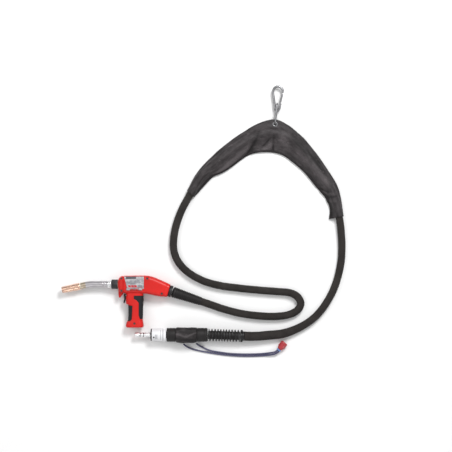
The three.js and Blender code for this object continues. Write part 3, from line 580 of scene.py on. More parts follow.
class Look:
    """A material whose nodes are added by short calls."""

    def __init__(self, name, colour, roughness, **sockets):
        self.material = bpy.data.materials.new(name)
        self.material.use_nodes = True
        self.tree = self.material.node_tree
        self.shader = self.tree.nodes["Principled BSDF"]
        self.set(**{"Base Color": (*colour, 1), "Roughness": roughness, **sockets})
        coordinates = self.tree.nodes.new("ShaderNodeTexCoord")
        self.place = coordinates.outputs["Object"]
        self.surface = self.tree.nodes.new("ShaderNodeUVMap")
        self.surface.uv_map = "Surface"
        self.height = None

    def set(self, **sockets):
        for socket, value in sockets.items():
            self.shader.inputs[socket].default_value = value

    def node(self, kind, inputs=(), **settings):
        made = self.tree.nodes.new(kind)
        for key, value in settings.items():
            setattr(made, key, value)
        for key, value in dict(inputs).items():
            if isinstance(value, bpy.types.NodeSocket):
                self.tree.links.new(value, made.inputs[key])
            else:
                made.inputs[key].default_value = value
        return made

    def stretched(self, scale, source=None, turn=(0, 0, 0)):
        inputs = {"Vector": source or self.place, "Scale": scale, "Rotation": turn}
        return self.node("ShaderNodeMapping", inputs).outputs[0]

    def noise(self, scale, detail=3.0, vector=None, rough=0.55):
        inputs = {"Vector": vector or self.place, "Scale": scale, "Detail": detail, "Roughness": rough}
        return self.node("ShaderNodeTexNoise", inputs).outputs["Fac"]

    def cells(self, scale, vector=None, feature="DISTANCE_TO_EDGE"):
        inputs = {"Vector": vector or self.place, "Scale": scale}
        return self.node("ShaderNodeTexVoronoi", inputs, feature=feature).outputs["Distance"]

    def wander(self, scale, reach):
        """A small offset that keeps cells from looking regular."""
        made = self.node("ShaderNodeTexNoise", {"Vector": self.place, "Scale": scale, "Detail": 2.0})
        inputs = {0: made.outputs["Color"], 1: (0.5, 0.5, 0.5)}
        shift = self.node("ShaderNodeVectorMath", inputs, operation="SUBTRACT")
        inputs = {0: shift.outputs[0], "Scale": reach}
        return self.node("ShaderNodeVectorMath", inputs, operation="SCALE").outputs[0]

    def math(self, operation, a, b=0.0):
        return self.node("ShaderNodeMath", {0: a, 1: b}, operation=operation).outputs[0]

    def spread(self, value, low, high, to_low=0.0, to_high=1.0):
        inputs = {0: value, 1: low, 2: high, 3: to_low, 4: to_high}
        return self.node("ShaderNodeMapRange", inputs).outputs[0]

    def blend(self, factor, a, b):
        made = self.node("ShaderNodeMix", {0: factor, 6: a, 7: b}, data_type="RGBA")
        return made.outputs[2]

    def colour_from(self, socket):
        self.tree.links.new(socket, self.shader.inputs["Base Color"])

    def roughness_from(self, value, low, high):
        self.tree.links.new(self.spread(value, 0, 1, low, high), self.shader.inputs["Roughness"])

    def bump(self, height, depth_mm, strength=1.0):
        """Adds a bump of this depth on top of those before it."""
        inputs = {"Height": height, "Distance": depth_mm * MM, "Strength": strength}
        if self.height is not None:
            inputs["Normal"] = self.height
        self.height = self.node("ShaderNodeBump", inputs).outputs[0]
        self.tree.links.new(self.height, self.shader.inputs["Normal"])


def shade(colour, factor):
    return (*[min(1.0, c * factor) for c in colour[:3]], 1)


def moulded_look(name, colour, roughness, grain_mm=0.5, grain_depth=0.04, wear_and_painted_light=None, gloss=0.5):
    """Moulded plastic: a fine grain, slow colour drift, dust and rubbed edges."""
    look = Look(name, colour, roughness, **{"Specular IOR Level": gloss})
    drift = look.noise(14, 3)
    tone = look.blend(look.spread(drift, 0.3, 0.7), shade(colour, 0.86), shade(colour, 1.1))
    specks = look.spread(look.noise(420, 4), 0.62, 0.78, 0, 0.35)
    tone = look.blend(specks, tone, shade(colour, 0.72))
    if wear_and_painted_light:
        edge = look.node("ShaderNodeNewGeometry").outputs["Pointiness"]
        sharp, uneven = look.spread(edge, 0.52, 0.6), look.spread(look.noise(60, 4), 0.4, 0.65)
        tone = look.blend(look.math("MULTIPLY", sharp, uneven), tone, (*wear_and_painted_light, 1))
    look.colour_from(tone)
    look.roughness_from(look.noise(90, 5), roughness - 0.09, roughness + 0.12)
    look.bump(look.noise(1000 / grain_mm, 2), grain_depth)
    look.bump(look.noise(35, 2), 0.12, 0.5)
    return look


def rubber_look(name, colour, roughness=0.62, dimple_mm=1.3, gloss=0.3):
    """Soft overmould: close dimples and a dusty bloom."""
    look = moulded_look(name, colour, roughness, 0.35, 0.03, gloss=gloss)
    dimples = look.spread(look.cells(1000 / dimple_mm, feature="F1"), 0.1, 0.55)
    look.bump(dimples, 0.12, 0.6)
    return look


def film_look(name, dark, light):
    """Printed film with a fine halftone and handled, duller patches."""
    look = moulded_look(name, light, 0.4, 0.5, 0.02, gloss=0.3)
    patches = look.spread(look.noise(95, 4), 0.38, 0.62)
    dots = look.spread(look.noise(700, 2), 0.4, 0.6, 0.55, 1)
    duller = look.math("MULTIPLY", patches, dots)
    look.colour_from(look.blend(duller, colour_of(dark), colour_of(light)))
    return look


def turned_metal_look(name, colour, roughness, tint=None, tint_from=(0.0, 1.0), lines=1.0):
    """Metal with fine rings from turning about the piece's own X axis."""
    look = Look(name, colour, roughness, Metallic=1.0)
    rings = look.noise(1.0, 3, look.stretched((2600, 12, 12)))
    stains = look.noise(70, 5)
    tone = look.blend(look.spread(stains, 0.35, 0.7), colour_of(colour), shade(colour, 0.8))
    if tint:
        along = look.node("ShaderNodeSeparateXYZ", {0: look.place}).outputs[0]
        heat = look.spread(along, tint_from[0] * MM, tint_from[1] * MM)
        uneven = look.math("MULTIPLY", heat, look.spread(look.noise(55, 4), 0.25, 0.6))
        tone = look.blend(uneven, tone, (*tint, 1))
    look.colour_from(tone)
    look.roughness_from(rings, roughness - 0.04, roughness + 0.08)
    look.bump(rings, 0.008, 0.12 * lines)
    look.bump(look.noise(90, 2), 0.04, 0.06)
    return look


def colour_of(colour):
    return (*colour[:3], 1)


def steel_look(name, colour=(0.29, 0.29, 0.30), roughness=0.28):
    """Plated bar: small scratches, handling marks and a slow change of gloss."""
    look = Look(name, colour, roughness, Metallic=1.0)
    scratches = look.noise(1.0, 4, look.stretched((220, 1800, 900), turn=(0.3, 0.2, 0.9)))
    stains = look.noise(45, 5)
    look.colour_from(look.blend(look.spread(stains, 0.4, 0.75), colour_of(colour), shade(colour, 0.74)))
    look.roughness_from(scratches, roughness - 0.1, roughness + 0.2)
    look.bump(scratches, 0.02, 0.35)
    return look


def sleeve_look(name, dark, light, strand_mm=2.6):
    """Woven textile sleeve: two sets of strands that cross, on the piece's Surface map."""
    sheen = {"Sheen Weight": 0.06, "Sheen Roughness": 0.5, "Specular IOR Level": 0.15}
    look = Look(name, dark, 0.86, **sheen)
    split = look.node("ShaderNodeSeparateXYZ", {0: look.surface.outputs[0]})
    around, along = split.outputs[0], split.outputs[1]
    pitch = 2 * math.pi / (strand_mm * MM) * SLANT
    ways = [
        look.math("MULTIPLY", look.math(sign, around, along), pitch) for sign in ("ADD", "SUBTRACT")
    ]
    halves = [look.math("MULTIPLY", way, 0.5) for way in ways]
    first, second = [look.math("ABSOLUTE", look.math("SINE", half)) for half in halves]
    over = look.math("MULTIPLY", look.math("SINE", ways[0]), look.math("SINE", ways[1]))
    on_top = look.spread(over, -0.15, 0.15)
    strand = look.node("ShaderNodeMix", {0: on_top, 2: first, 3: second}, data_type="FLOAT").outputs[0]
    fibres = look.noise(1.0, 3, look.stretched((2600, 700, 1), look.surface.outputs[0], (0, 0, 0.7)))
    lit = look.math("MULTIPLY", strand, look.spread(fibres, 0.3, 0.7, 0.55, 1.0))
    patches = look.spread(look.noise(26, 4), 0.35, 0.7)
    tone = look.blend(lit, colour_of(dark), colour_of(light))
    tone = look.blend(look.math("MULTIPLY", patches, 0.35), tone, shade(light, 1.5))
    look.colour_from(tone)
    look.roughness_from(look.noise(120, 3), 0.74, 0.95)
    look.bump(strand, 0.28, 0.8)
    look.bump(fibres, 0.06, 0.5)
    return look


def leather_look(name, dark, light, grain_mm=1.7):
    """Soft leather: pebbled grain, fine creases, and lighter places where "wear_and_painted_light" is
    high: painted highlights on fold ridges, and real wear.
    """
    sheen = {"Sheen Weight": 0.03, "Sheen Roughness": 0.4, "Specular IOR Level": 0.28}
    look = Look(name, dark, 0.6, **sheen)
    inputs = {0: look.place, 1: look.wander(60, 0.004)}
    bent = look.node("ShaderNodeVectorMath", inputs, operation="ADD")
    grain = look.spread(look.cells(1000 / grain_mm, bent.outputs[0]), 0.0, 0.22)
    creases = look.noise(1.0, 6, look.stretched((30, 75, 60), turn=(0, 0, 0.7)), 0.65)
    patches = look.noise(11, 5)
    # This point attribute carries painted light: highlights on fold ridges, shade in fold valleys and
    # at turned-down edges; on the cuff it also holds random wear.
    wear_and_painted_light = look.node("ShaderNodeAttribute", attribute_name="wear_and_painted_light").outputs["Fac"]
    streaks = look.noise(1.0, 5, look.stretched((150, 26, 1), look.surface.outputs[0]), 0.6)
    uneven = look.math("ADD", wear_and_painted_light, look.spread(patches, 0.35, 0.68, -0.12, 0.12))
    uneven = look.math("ADD", uneven, look.spread(streaks, 0.3, 0.7, -0.2, 0.2))
    tone = look.blend(look.spread(uneven, 0.25, 0.95), colour_of(dark), colour_of(light))
    tone = look.blend(look.spread(grain, 0, 1, 0.55, 0.0), tone, shade(dark, 0.45))
    ridges, uneven = look.spread(creases, 0.56, 0.72), look.spread(look.noise(34, 4), 0.4, 0.7)
    scuffs = look.math("MULTIPLY", look.math("MULTIPLY", ridges, uneven), 0.5)
    tone = look.blend(scuffs, tone, shade(light, 2.0))
    look.colour_from(tone)
    look.roughness_from(creases, 0.42, 0.72)
    look.bump(grain, 0.16, 0.7)
    look.bump(creases, 0.9, 0.5)
    return look


RED = (0.57, 0.009, 0.006)
BLACK = (0.011, 0.011, 0.013)

LOOKS = {
    "red": moulded_look("red_nylon", RED, 0.38, 0.6, 0.05, wear_and_painted_light=(0.75, 0.07, 0.05), gloss=0.35),
    "plug_red": moulded_look("plug_red", (0.42, 0.03, 0.04), 0.42, 0.5, 0.03, wear_and_painted_light=(0.6, 0.2, 0.2)),
    "pad": rubber_look("black_overmould", BLACK),
    "boot": rubber_look("boot_rubber", (0.012, 0.0105, 0.0108), 0.55, 0.9),
    "dark": moulded_look(
        "dark_plastic", (0.018, 0.016, 0.018), 0.42, 0.4, 0.03, wear_and_painted_light=(0.07, 0.07, 0.075), gloss=0.35,
    ),
    "latch": moulded_look(
        "latch_plastic", (0.075, 0.07, 0.085), 0.42, 0.4, 0.03, wear_and_painted_light=(0.12, 0.11, 0.13),
    ),
    "white": moulded_look("white_plastic", (0.72, 0.72, 0.74), 0.4, 0.5, 0.02),
    "panel": film_look("panel_film", (0.24, 0.24, 0.26), (0.52, 0.52, 0.53)),
    "grey": moulded_look("grey_print", (0.16, 0.16, 0.18), 0.45, 0.5, 0.01, gloss=0.3),
    "print_red": moulded_look("red_print", (0.50, 0.02, 0.03), 0.45, 0.5, 0.01, gloss=0.3),
    "clip_blue": moulded_look("blue_clip", (0.16, 0.26, 0.52), 0.4, 0.5, 0.02),
    "ceramic": moulded_look("ceramic", (0.66, 0.61, 0.52), 0.6, 0.3, 0.03),
    "lead": moulded_look("lead_jacket", (0.048, 0.046, 0.105), 0.36, 0.3, 0.02),
    "copper": turned_metal_look("copper", (0.90, 0.60, 0.46), 0.24, (0.42, 0.27, 0.22), (66, 90)),
    "brass": turned_metal_look("tan_brass", (0.52, 0.44, 0.34), 0.32),
    "aluminium": turned_metal_look("satin_aluminium", (0.56, 0.54, 0.56), 0.3, lines=0.3),
    "nickel": turned_metal_look("bright_nickel", (0.84, 0.84, 0.85), 0.27, lines=0.6),
    "pin": turned_metal_look("dull_nickel", (0.92, 0.92, 0.93), 0.34, lines=0.6),
    "steel": steel_look("plated_steel"),
    "black_steel": steel_look("blackened_steel", (0.12, 0.10, 0.10), 0.36),
    "motor": steel_look("motor_can", (0.42, 0.43, 0.45), 0.34),
    "cast": moulded_look("cast_zinc", (0.36, 0.36, 0.38), 0.5, 0.7, 0.06),
    "core": moulded_look("core_jacket", (0.03, 0.03, 0.034), 0.5, 0.4, 0.03),
    "spring": moulded_look(
        "spring_enamel", (0.010, 0.0095, 0.010), 0.34, 0.8, 0.02, wear_and_painted_light=(0.12, 0.12, 0.125), gloss=0.3,
    ),
    "sleeve": sleeve_look("textile_sleeve", (0.007, 0.006, 0.0055), (0.036, 0.0315, 0.0295)),
    "leather": leather_look("charcoal_leather", (0.012, 0.0098, 0.0104), (0.098, 0.086, 0.09)),
    "thread": moulded_look("waxed_thread", (0.055, 0.05, 0.055), 0.6, 0.2, 0.04, gloss=0.3),
}


# ----------------------------------------------------------------------- the cords


def sleeve_radius(run, angle):
    """The sleeve's radius: slow swelling, and small folds where it bunches up."""
    place = Vector((run * 0.02, math.cos(angle) * 1.4, math.sin(angle) * 1.4))
    folds = Vector((run * 0.11, math.cos(angle) * 0.9, math.sin(angle) * 0.9))
    fuller = SLEEVE_FULLER * smoothstep(*SLEEVE_FULLER_SPAN, run)
    return HOSE_DIAMETER / 2 - 0.3 + 0.4 * noise.noise(place) + 0.3 * noise.noise(folds) + fuller


def resting(piece):
    """Flattens what would dip into the floor."""
    for corner in piece.data.vertices:
        corner.co.z = max(corner.co.z, FLOOR_GAP * MM)
    return piece


def make_torch_cable():
    path = smooth_route(HOSE_ROUTE, 4)
    cable = resting(tube("torch_cable_sleeve", path, sleeve_radius, 36))
    return fitted(cable, "sleeve", "torch", "torch_cable"), path


def make_lead(name, route, node):
    path = smooth_route(route, 2.5)
    return fitted(tube(name, path, LEAD_DIAMETER / 2, 20), "lead", "torch", node), path


torch_cable, cable_path = make_torch_cable()
lead_a, lead_a_path = make_lead("control_lead_a_jacket", LEAD_A_ROUTE, "control_lead_a")
lead_b, lead_b_path = make_lead("control_lead_b_jacket", LEAD_B_ROUTE, "control_lead_b")


# ---------------------------------------------------------------- floor and light


# Lamps: name, place and size in metres, power in watts.
LAMPS = [
    ("key_lamp", (1.35, 2.2, 3.0), 1.15, 108),
    ("fill_lamp", (-1.8, 0.9, 2.2), 1.8, 20),
    ("edge_lamp", (0.2, -2.2, 1.6), 1.2, 10),
]

# The surroundings: from and to this height of the direction, with these strengths.
SKY_RAMP = (0.05, 0.95, 0.16, 0.74)
FLOOR_SIZE = 14
FLOOR_CENTRE = Vector((*VIEW_CENTRE, 0)) * MM


def make_stage():
    """A pale floor, even white surroundings and a large lamp from the upper right."""
    bpy.ops.mesh.primitive_plane_add(size=FLOOR_SIZE, location=FLOOR_CENTRE)
    floor = bpy.context.object
    floor.name = "floor"
    paper = Look("pale_floor", (0.86, 0.86, 0.86), 0.9)
    paper.colour_from(paper.blend(paper.noise(3, 2), (0.85, 0.85, 0.85, 1), (0.87, 0.87, 0.87, 1)))
    floor.data.materials.append(paper.material)
    bpy.context.scene.world = studio_world()
    for lamp in LAMPS:
        add_lamp(*lamp)


def studio_world():
    """Surroundings that are white overhead and grey towards the horizon."""
    world = bpy.data.worlds.new("studio")
    world.use_nodes = True
    tree = world.node_tree
    split = tree.nodes.new("ShaderNodeSeparateXYZ")
    tree.links.new(tree.nodes.new("ShaderNodeTexCoord").outputs["Generated"], split.inputs[0])
    ramp = tree.nodes.new("ShaderNodeMapRange")
    for k, value in enumerate(SKY_RAMP, 1):
        ramp.inputs[k].default_value = value
    tree.links.new(split.outputs[2], ramp.inputs[0])
    tree.links.new(ramp.outputs[0], tree.nodes["Background"].inputs["Strength"])
    tree.nodes["Background"].inputs["Color"].default_value = (1, 1, 1, 1)
    return world


def add_lamp(name, place, size, power):
    data = bpy.data.lights.new(name, "AREA")
    data.size = size
    data.energy = power
    lamp = bpy.data.objects.new(name, data)
    bpy.context.collection.objects.link(lamp)
    lamp.location = place
    lamp.rotation_euler = (FLOOR_CENTRE - lamp.location).to_track_quat("-Z", "Y").to_euler()


make_stage()
bpy.context.scene.view_settings.view_transform = "Standard"

# -------------------------------------------------------------------------- barrel

GUN = at(0, 0, BARREL_HEIGHT)


def bend_point(share):
    angle = math.radians(BEND_ANGLE) * share
    return Vector((BEND_START - BEND_RADIUS * math.sin(angle), -BEND_RADIUS * (1 - math.cos(angle)), 0))


def make_neck():
    """The bent tube, with two pressed grooves, and the ferrule on it."""
    stations = [NECK_START, -40, -60, *(-80 - 0.75 * k for k in range(54))]
    stations += [-125, -130, -136, -142, -147]
    path = [Vector((x, 0, 0)) for x in stations] + [bend_point(k / 10) for k in range(11)]

    def radius(run, angle):
        x = NECK_START - run
        return NECK_RADIUS - 0.9 * max(math.exp(-((x - g) / 1.1) ** 2) for g in NECK_GROOVES)

    neck = tube("neck_outer_tube", path, radius, 56, place=GUN)
    fitted(neck, "aluminium", "neck", "neck_tube")
    ferrule = turned("neck_bright_ferrule", [
        (-97, 12.15), (-97, 13.2), (-95, 13.7), (-92.4, 13.7), (-92, 13.1), (-89.6, 13.1),
        (-89.2, 13.7), (-86, 13.7), (-84.7, 13.2), (-84.7, 12.15),
    ], GUN, ring=True, round_off=0.3)
    fitted(ferrule, "nickel", "neck", "neck_ferrule")


def knurled_ring(name, start, end, radius, inner, teeth, depth, place, shoulders=1.2):
    """A grip ring whose outside is cut into teeth; its ends are chamfered."""
    sides = teeth * 6
    rows = [
        (start, inner, 0), (start, radius - shoulders, 0.3), (start + shoulders, radius, 1),
        (end - shoulders, radius, 1), (end, radius - shoulders, 0.3), (end, inner, 0),
    ]
    points, faces = [], []
    for x, r, cut in rows:
        for s in range(sides):
            angle = 2 * math.pi * s / sides
            wave = max(0.0, math.cos(teeth * angle)) ** 0.6
            points.append(on_circle(x, r - depth * cut * wave, angle))
    for a in range(len(rows)):
        b = (a + 1) % len(rows)
        for s in range(sides):
            t = (s + 1) % sides
            faces.append([a * sides + s, a * sides + t, b * sides + t, b * sides + s])
    return facing_out(link_mesh(name, points, faces, sharp=30), place)


def make_collar():
    collar = knurled_ring("barrel_collar_nut", -82.6, -60.4, 17, 14.7, 20, 1.1, GUN)
    fitted(collar, "dark", "collar", "barrel_collar")
    lip = turned("barrel_collar_lip", [
        (-82.9, 12.3), (-82.9, 15.4), (-82.2, 15.6), (-76.5, 15.6), (-76.5, 12.3),
    ], GUN, ring=True, round_off=0.3)
    fitted(lip, "dark", "collar", slot="dark_plastic")


def make_front_end():
    """Adapter, nozzle, insulator, diffuser and contact tip on the bent neck's end."""
    end = bend_point(1)
    tip = at(end.x, end.y, BARREL_HEIGHT, 180 + BEND_ANGLE)
    turned_part("neck_adapter", "turned", "neck", "brass", [
        (0.3, 6.4), (0.3, 10.6), (1, 11.4), (6, 11.6), (6.4, 10.9), (8, 10.9), (8.4, 11.6),
        (17.6, 11.6), (18, 11.2), (18, 8.7), (25.8, 8.5), (25.8, 6.4),
    ], tip, round_off=0.3)
    turned_part("nozzle_insulator", "ring", "neck", "ceramic", [
        (18.4, 9.1), (18.4, 10.3), (32, 10.3), (32, 9.1),
    ], tip, round_off=0.2)
    turned_part("gas_diffuser", "turned", "neck", "brass", [
        (26.3, 2), (26.3, 8.2), (34, 8.4), (34.4, 7.8), (42, 7.8), (42.4, 8.4), (50, 8.2),
        (54, 6.5), (54, 4.7), (44, 4.7), (44, 2),
    ], tip, 48, round_off=0.3)
    last = NOZZLE_TIP - 6
    turned_part("contact_tip", "turned", "neck", "copper", [
        (44.4, 0.8), (44.4, 4.2), (last - 8, 4.2), (last - 0.6, 2.7), (last, 2.2), (last, 0.8),
    ], tip, 40, round_off=0.3)
    turned_part("nozzle", "turned", "neck", "copper", [
        (22, 10.9), (22, 12.2), (22.8, 12.7), (26, 12.7), (26.4, 12.2), (27.4, 12.2), (27.8, 12.7),
        (43, 12.7), (44.4, 12.1), (46, 12), (50, 12), (50.4, 11.7), (51, 11.7), (51.4, 12), (73, 12),
        (84, 11.5), (87, 11.1), (NOZZLE_TIP, 10.6), (NOZZLE_TIP, 9.6), (86.8, 9.4), (74, 9.9),
        (34, 10.9),
    ], tip, 72, round_off=0.35)


make_neck()
make_collar()
make_front_end()

# ------------------------------------------------------------------- gun housing

# Sections of the barrel housing: x, y of centre, half height, half thickness, lean.
BODY_SECTIONS = [
    (-59.4, 0, 15.5, 17, 0), (-55, -0.5, 23, 22, 0), (-47, -0.8, 30, 26, 0), (-36, -1, 31.2, 27, 0),
    (42, -1.5, 32.5, 27, 0), (60, -5, 32, 26.5, -6), (92, -15, 28.5, 25, -12),
    (*REAR_FACE, 23, 23, REAR_ANGLE),
]

# Sections of the grip: y, front x, rear x, half thickness.
GRIP_SECTIONS = [
    (-12, -30, 31, 20), (-50, -31.2, 31.5, 20.5), (-69, -31.2, 30.8, 20), (-75, -22.5, 30.3, 20),
    (-100, -21.6, 29.8, 20), (-126, -22.6, 29.2, 20), (-136, -28.5, 31, 20.5), (-149, -31.5, 32.6, 21),
    (-154.8, -29, 31, 19),
]

# Sections of the finger guard: y, front x, rear x, half thickness.
BEAK_SECTIONS = [
    (-8, -58.9, -42, 15), (-30, -58, -38, 12), (-44, -56.8, -49, 9.5), (-48.8, -55.6, -51.6, 7),
]

WALL = 4
GRIP_SKIN = 2
GAP = 0.3
HINGE = (-18.8, 29.3)
TRIGGER_PIVOT = (-30, -39)
TRIGGER_SLOT = [(-50, -72), (-23, -72), (-23, -30.5), (-38, -30.5), (-48, -46)]
REAR_SEAM = [(100.2, -60), (117.4, 0), (115.8, 0.4), (98.6, -59.6)]
SCREW_HOLE = 2
SCREW_POST = 3.8
SCREW_HEAD = 4.2
HINGE_HOLE = 1.3
TRIGGER_HOLE = 2.3
SCREW_PLACES = [(-46, 21.5), (-46, -22.5), (46, 21), (98, -33), (0, -140)]
COVER_OUTLINE = [(-25, -16), (34, -16), (34, 28.4), (-36.6, 28.4)]
LABEL_OUTLINE = [(-23.4, -13), (31, -13), (31, 11), (-29.8, 11)]
FRONT_PAD = [(-40, -73), (-7.2, -77), (-9.5, -125), (-15, -131), (-40, -131)]
REAR_PAD = [
    (-1.8, -41), (40, -41), (40, -124), (20, -124), (15.5, -110), (15.5, -66), (8, -57), (-1.8, -52),
]


def body_form(inset):
    """The barrel housing's skin, moved inwards by the inset; all gun forms are in gun mm."""
    rings = []
    rows = monotone_rows(BODY_SECTIONS, 6)
    for i, (x, y, half_height, half, lean) in enumerate(rows):
        angle = math.radians(lean)
        along = Vector((math.cos(angle), math.sin(angle), 0))
        up = Vector((-math.sin(angle), math.cos(angle), 0))
        shift = inset if i == 0 else -inset if i == len(rows) - 1 else 0
        centre = Vector((x, y, 0)) + along * shift
        size = (half_height - inset, half - inset, 13 - inset)
        rings.append(rounded_ring(centre, up, Vector((0, 0, 1)), *size, crown=0.03))
    return lofted("body_form", rings)


def upright_form(sections, inset, corner, crown=0.0):
    rings = []
    rows = monotone_rows(sections, 5)
    for i, (y, front, rear, half) in enumerate(rows):
        shift = -inset if i == 0 else inset if i == len(rows) - 1 else 0
        centre = Vector(((front + rear) / 2, y + shift, 0))
        size = ((rear - front) / 2 - inset, half - inset, corner - inset)
        rings.append(rounded_ring(centre, Vector((1, 0, 0)), Vector((0, 0, 1)), *size, crown=crown))
    return lofted("upright_form", rings)


def grip_form(inset):
    return upright_form(GRIP_SECTIONS, inset, 14, 0.05)


def surface_strip(outline, deep, shallow):
    """A strip that follows the housing's skin, between two depths below it."""
    return kept_inside(carved(body_form(shallow), body_form(deep)), extruded("tool", outline, 8, 40))


def hinge_rod(radius, half):
    return rod((-half, *HINGE), (half, *HINGE), radius, 24)


def pin_hole(place, half, radius, sides=32):
    """A rod through a pivot, square to the gun's or the hook's side."""
    return rod((*place, -half), (*place, half), radius, sides)


def screw_heights(y):
    """The head's seat and the post's end; both are lower in the grip, which is thinner."""
    return (17.6, 18.4) if y < -100 else (21.8, 23.4)


def housing_walls():
    """Both halves in one, hollow, with their seams, recesses and openings."""
    outside = joined(body_form(0), grip_form(0), upright_form(BEAK_SECTIONS, 0, 6))
    softened(outside, 1.1, 7)
    nose_seam = carved(brick(-41.2, -38.9, -40, 40, -40, 40), body_form(1.8))
    rear_seam = carved(extruded("tool", REAR_SEAM, -40, 40), body_form(1.1))
    butt_seam = carved(brick(-40, 40, -133.6, -132.2, -40, 40), grip_form(1.0))
    carved(outside, nose_seam, rear_seam, butt_seam, joined(body_form(WALL), grip_form(WALL)))
    for x, y in SCREW_PLACES:
        post = screw_heights(y)[1]
        joined(outside, rod((x, y, -post), (x, y, post), SCREW_POST))
    for region in (FRONT_PAD, REAR_PAD):
        recess = extruded("tool", grown(region, GAP), -40, 40)
        carved(outside, carved(recess, grip_form(GRIP_SKIN + GAP), body_form(0)))
    rear, ahead = Vector((*REAR_FACE, 0)), Vector((*REAR_WAY, 0)) * 15
    carved(outside, rod((-70, 0, 0), (-50, 0, 0), 14.6, 64), rod(rear - ahead, rear + ahead, 13.4, 48))
    carved(outside, extruded("tool", TRIGGER_SLOT, -8.6, 8.6))
    carved(outside, pin_hole(TRIGGER_PIVOT, 18.5, TRIGGER_HOLE))
    for x, y in SCREW_PLACES:
        seat = screw_heights(y)[0]
        carved(outside, rod((x, y, -16), (x, y, 40), SCREW_HOLE))
        carved(outside, rod((x, y, seat), (x, y, 40), SCREW_HEAD))
    return outside


def copy_of(piece):
    made = piece.copy()
    made.data = piece.data.copy()
    bpy.context.collection.objects.link(made)
    return made


def make_shells():
    walls = housing_walls()
    lower = kept_inside(copy_of(walls), brick(-80, 150, -170, 50, -40, -GAP / 2))
    upper = kept_inside(walls, brick(-80, 150, -170, 50, GAP / 2, 40))
    seat = surface_strip(grown(COVER_OUTLINE, GAP), 2, -4)
    carved(upper, brick(-27.5, 27.5, -11.5, 16.5, 15, 40), seat, hinge_rod(3.4, 31))
    for x in (-8, 8):
        ear = bevelled(brick(x - 3, x + 3, HINGE[0] - 2.1, HINGE[0] + 2.1, 25, HINGE[1] + 2), 0.6)
        joined(upper, ear)
    carved(upper, hinge_rod(HINGE_HOLE, 32))
    for shell, name in ((lower, "lower_shell"), (upper, "upper_shell")):
        softened(shell, 0.8, 2, 0.4)
        fitted(shell, "red", "torch", name, name=f"{name}_moulded", place=GUN)


def make_grip_pads():
    for name, region in (("front_grip_pad", FRONT_PAD), ("rear_grip_pad", REAR_PAD)):
        pad = kept_inside(grip_form(-0.6), extruded("tool", region, -40, 40))
        carved(pad, grip_form(GRIP_SKIN), body_form(-GAP))
        softened(pad, 0.6, 3, 0.5)
        fitted(pad, "pad", "torch", name, name=f"{name}_rubber", place=GUN)


# ------------------------------------------------------------------ drive cover


def make_cover():
    cover = surface_strip(COVER_OUTLINE, 1.7, -0.6)
    for x in (-22, 22):
        leaf = brick(x - 6, x + 6, HINGE[0], -13.4, 27.3, HINGE[1] + 2)
        joined(cover, joined(leaf, rod((x - 6, *HINGE), (x + 6, *HINGE), 2.1)))
    label_seat = extruded("tool", grown(LABEL_OUTLINE, GAP), 27.2, 28.5)
    latch_room = surface_strip(rectangle(-30.3, 14.3, 19.7, 29), 0.6, -4)
    carved(cover, hinge_rod(HINGE_HOLE, 32), label_seat, latch_room)
    softened(cover, 0.45, 2, 0.35)
    fitted(cover, "panel", "cover", "drive_cover", name="drive_cover_plate", place=GUN)
    label = bevelled(extruded("cover_label_plate", LABEL_OUTLINE, 27.5, 28), 0.2)
    fitted(label, "panel", "cover", "cover_label", place=GUN)
    latch = surface_strip(rectangle(-30, 6, 20, 28), 0.3, -1.8)
    for x in (-24, -20, -16, -12):
        joined(latch, surface_strip(rectangle(x - 0.8, x + 0.8, 21, 27), 0, -2.8))
    softened(latch, 0.4, 3, 0.4)
    fitted(latch, "latch", "latch", "cover_latch", name="cover_latch_slide", place=GUN)


def printed(name, shapes, low, high, body, look, slot):
    """Thin printed marks, joined into one piece."""
    marks = None
    for outline in shapes:
        mark = extruded(name, outline, low, high)
        marks = mark if marks is None else joined(marks, mark)
    return fitted(marks, look, body, slot=slot, place=GUN)


def slanted(x0, x1, y0, y1, lean=0.27):
    """A bar whose ends slant like the cover's front edge."""
    return [(x0 - lean * y0, y0), (x1 - lean * y0, y0), (x1 - lean * y1, y1), (x0 - lean * y1, y1)]


def make_cover_print():
    """Plain bars stand for the printing; they hold no lettering."""
    red = [slanted(-23.2 + 10.6 * k, -14.2 + 10.6 * k, -9.6, -2.6) for k in range(3)]
    red += [slanted(-24, 29.5, -11.9, -11.0, 0.0)]
    printed("cover_print_red", red, 27.9, 28.12, "cover", "print_red", "red_plastic")
    grey = []
    for k, length in enumerate((36, 44, 30)):
        grey.append(slanted(-21.5, -21.5 + length, 8.4 - 3 * k, 9.6 - 3 * k))
    grey += [rectangle(14, 28.6, -9.6, -6.9), rectangle(14, 28.6, -5.2, -2.6)]
    printed("cover_print_grey", grey, 27.9, 28.12, "cover", "grey", "dark_plastic")


# ------------------------------------------------------------------------ trigger


def make_trigger():
    outline = [
        (-36.6, -34), (-31, -33.4), (-26.4, -33.8), (-25, -39), (-25.6, -45), (-29.4, -49.5),
        (-32, -54.5), (-33, -60.5), (-35, -66.6), (-37.8, -68.3), (-39.6, -66.6), (-39.4, -61.5),
        (-37.9, -55), (-37.6, -48.5), (-38.5, -43), (-38.2, -37.5),
    ]
    curve = smooth_route([(x, y, 0) for x, y in outline], 1.6, closed=True)[:-1]
    lever = extruded("trigger_lever", [(p.x, p.y) for p in curve], -7.9, 7.9)
    carved(lever, pin_hole(TRIGGER_PIVOT, 9, TRIGGER_HOLE), pin_hole(TRIGGER_PIVOT, 3.6, 4.9))
    softened(lever, 0.45, 6, 0.4)
    fitted(lever, "pad", "trigger", "trigger", place=GUN)


make_shells()
make_grip_pads()
make_cover()
make_cover_print()
make_trigger()

# --------------------------------------------- CAD pieces that keep their shape

KEPT_BEVEL = 0.25

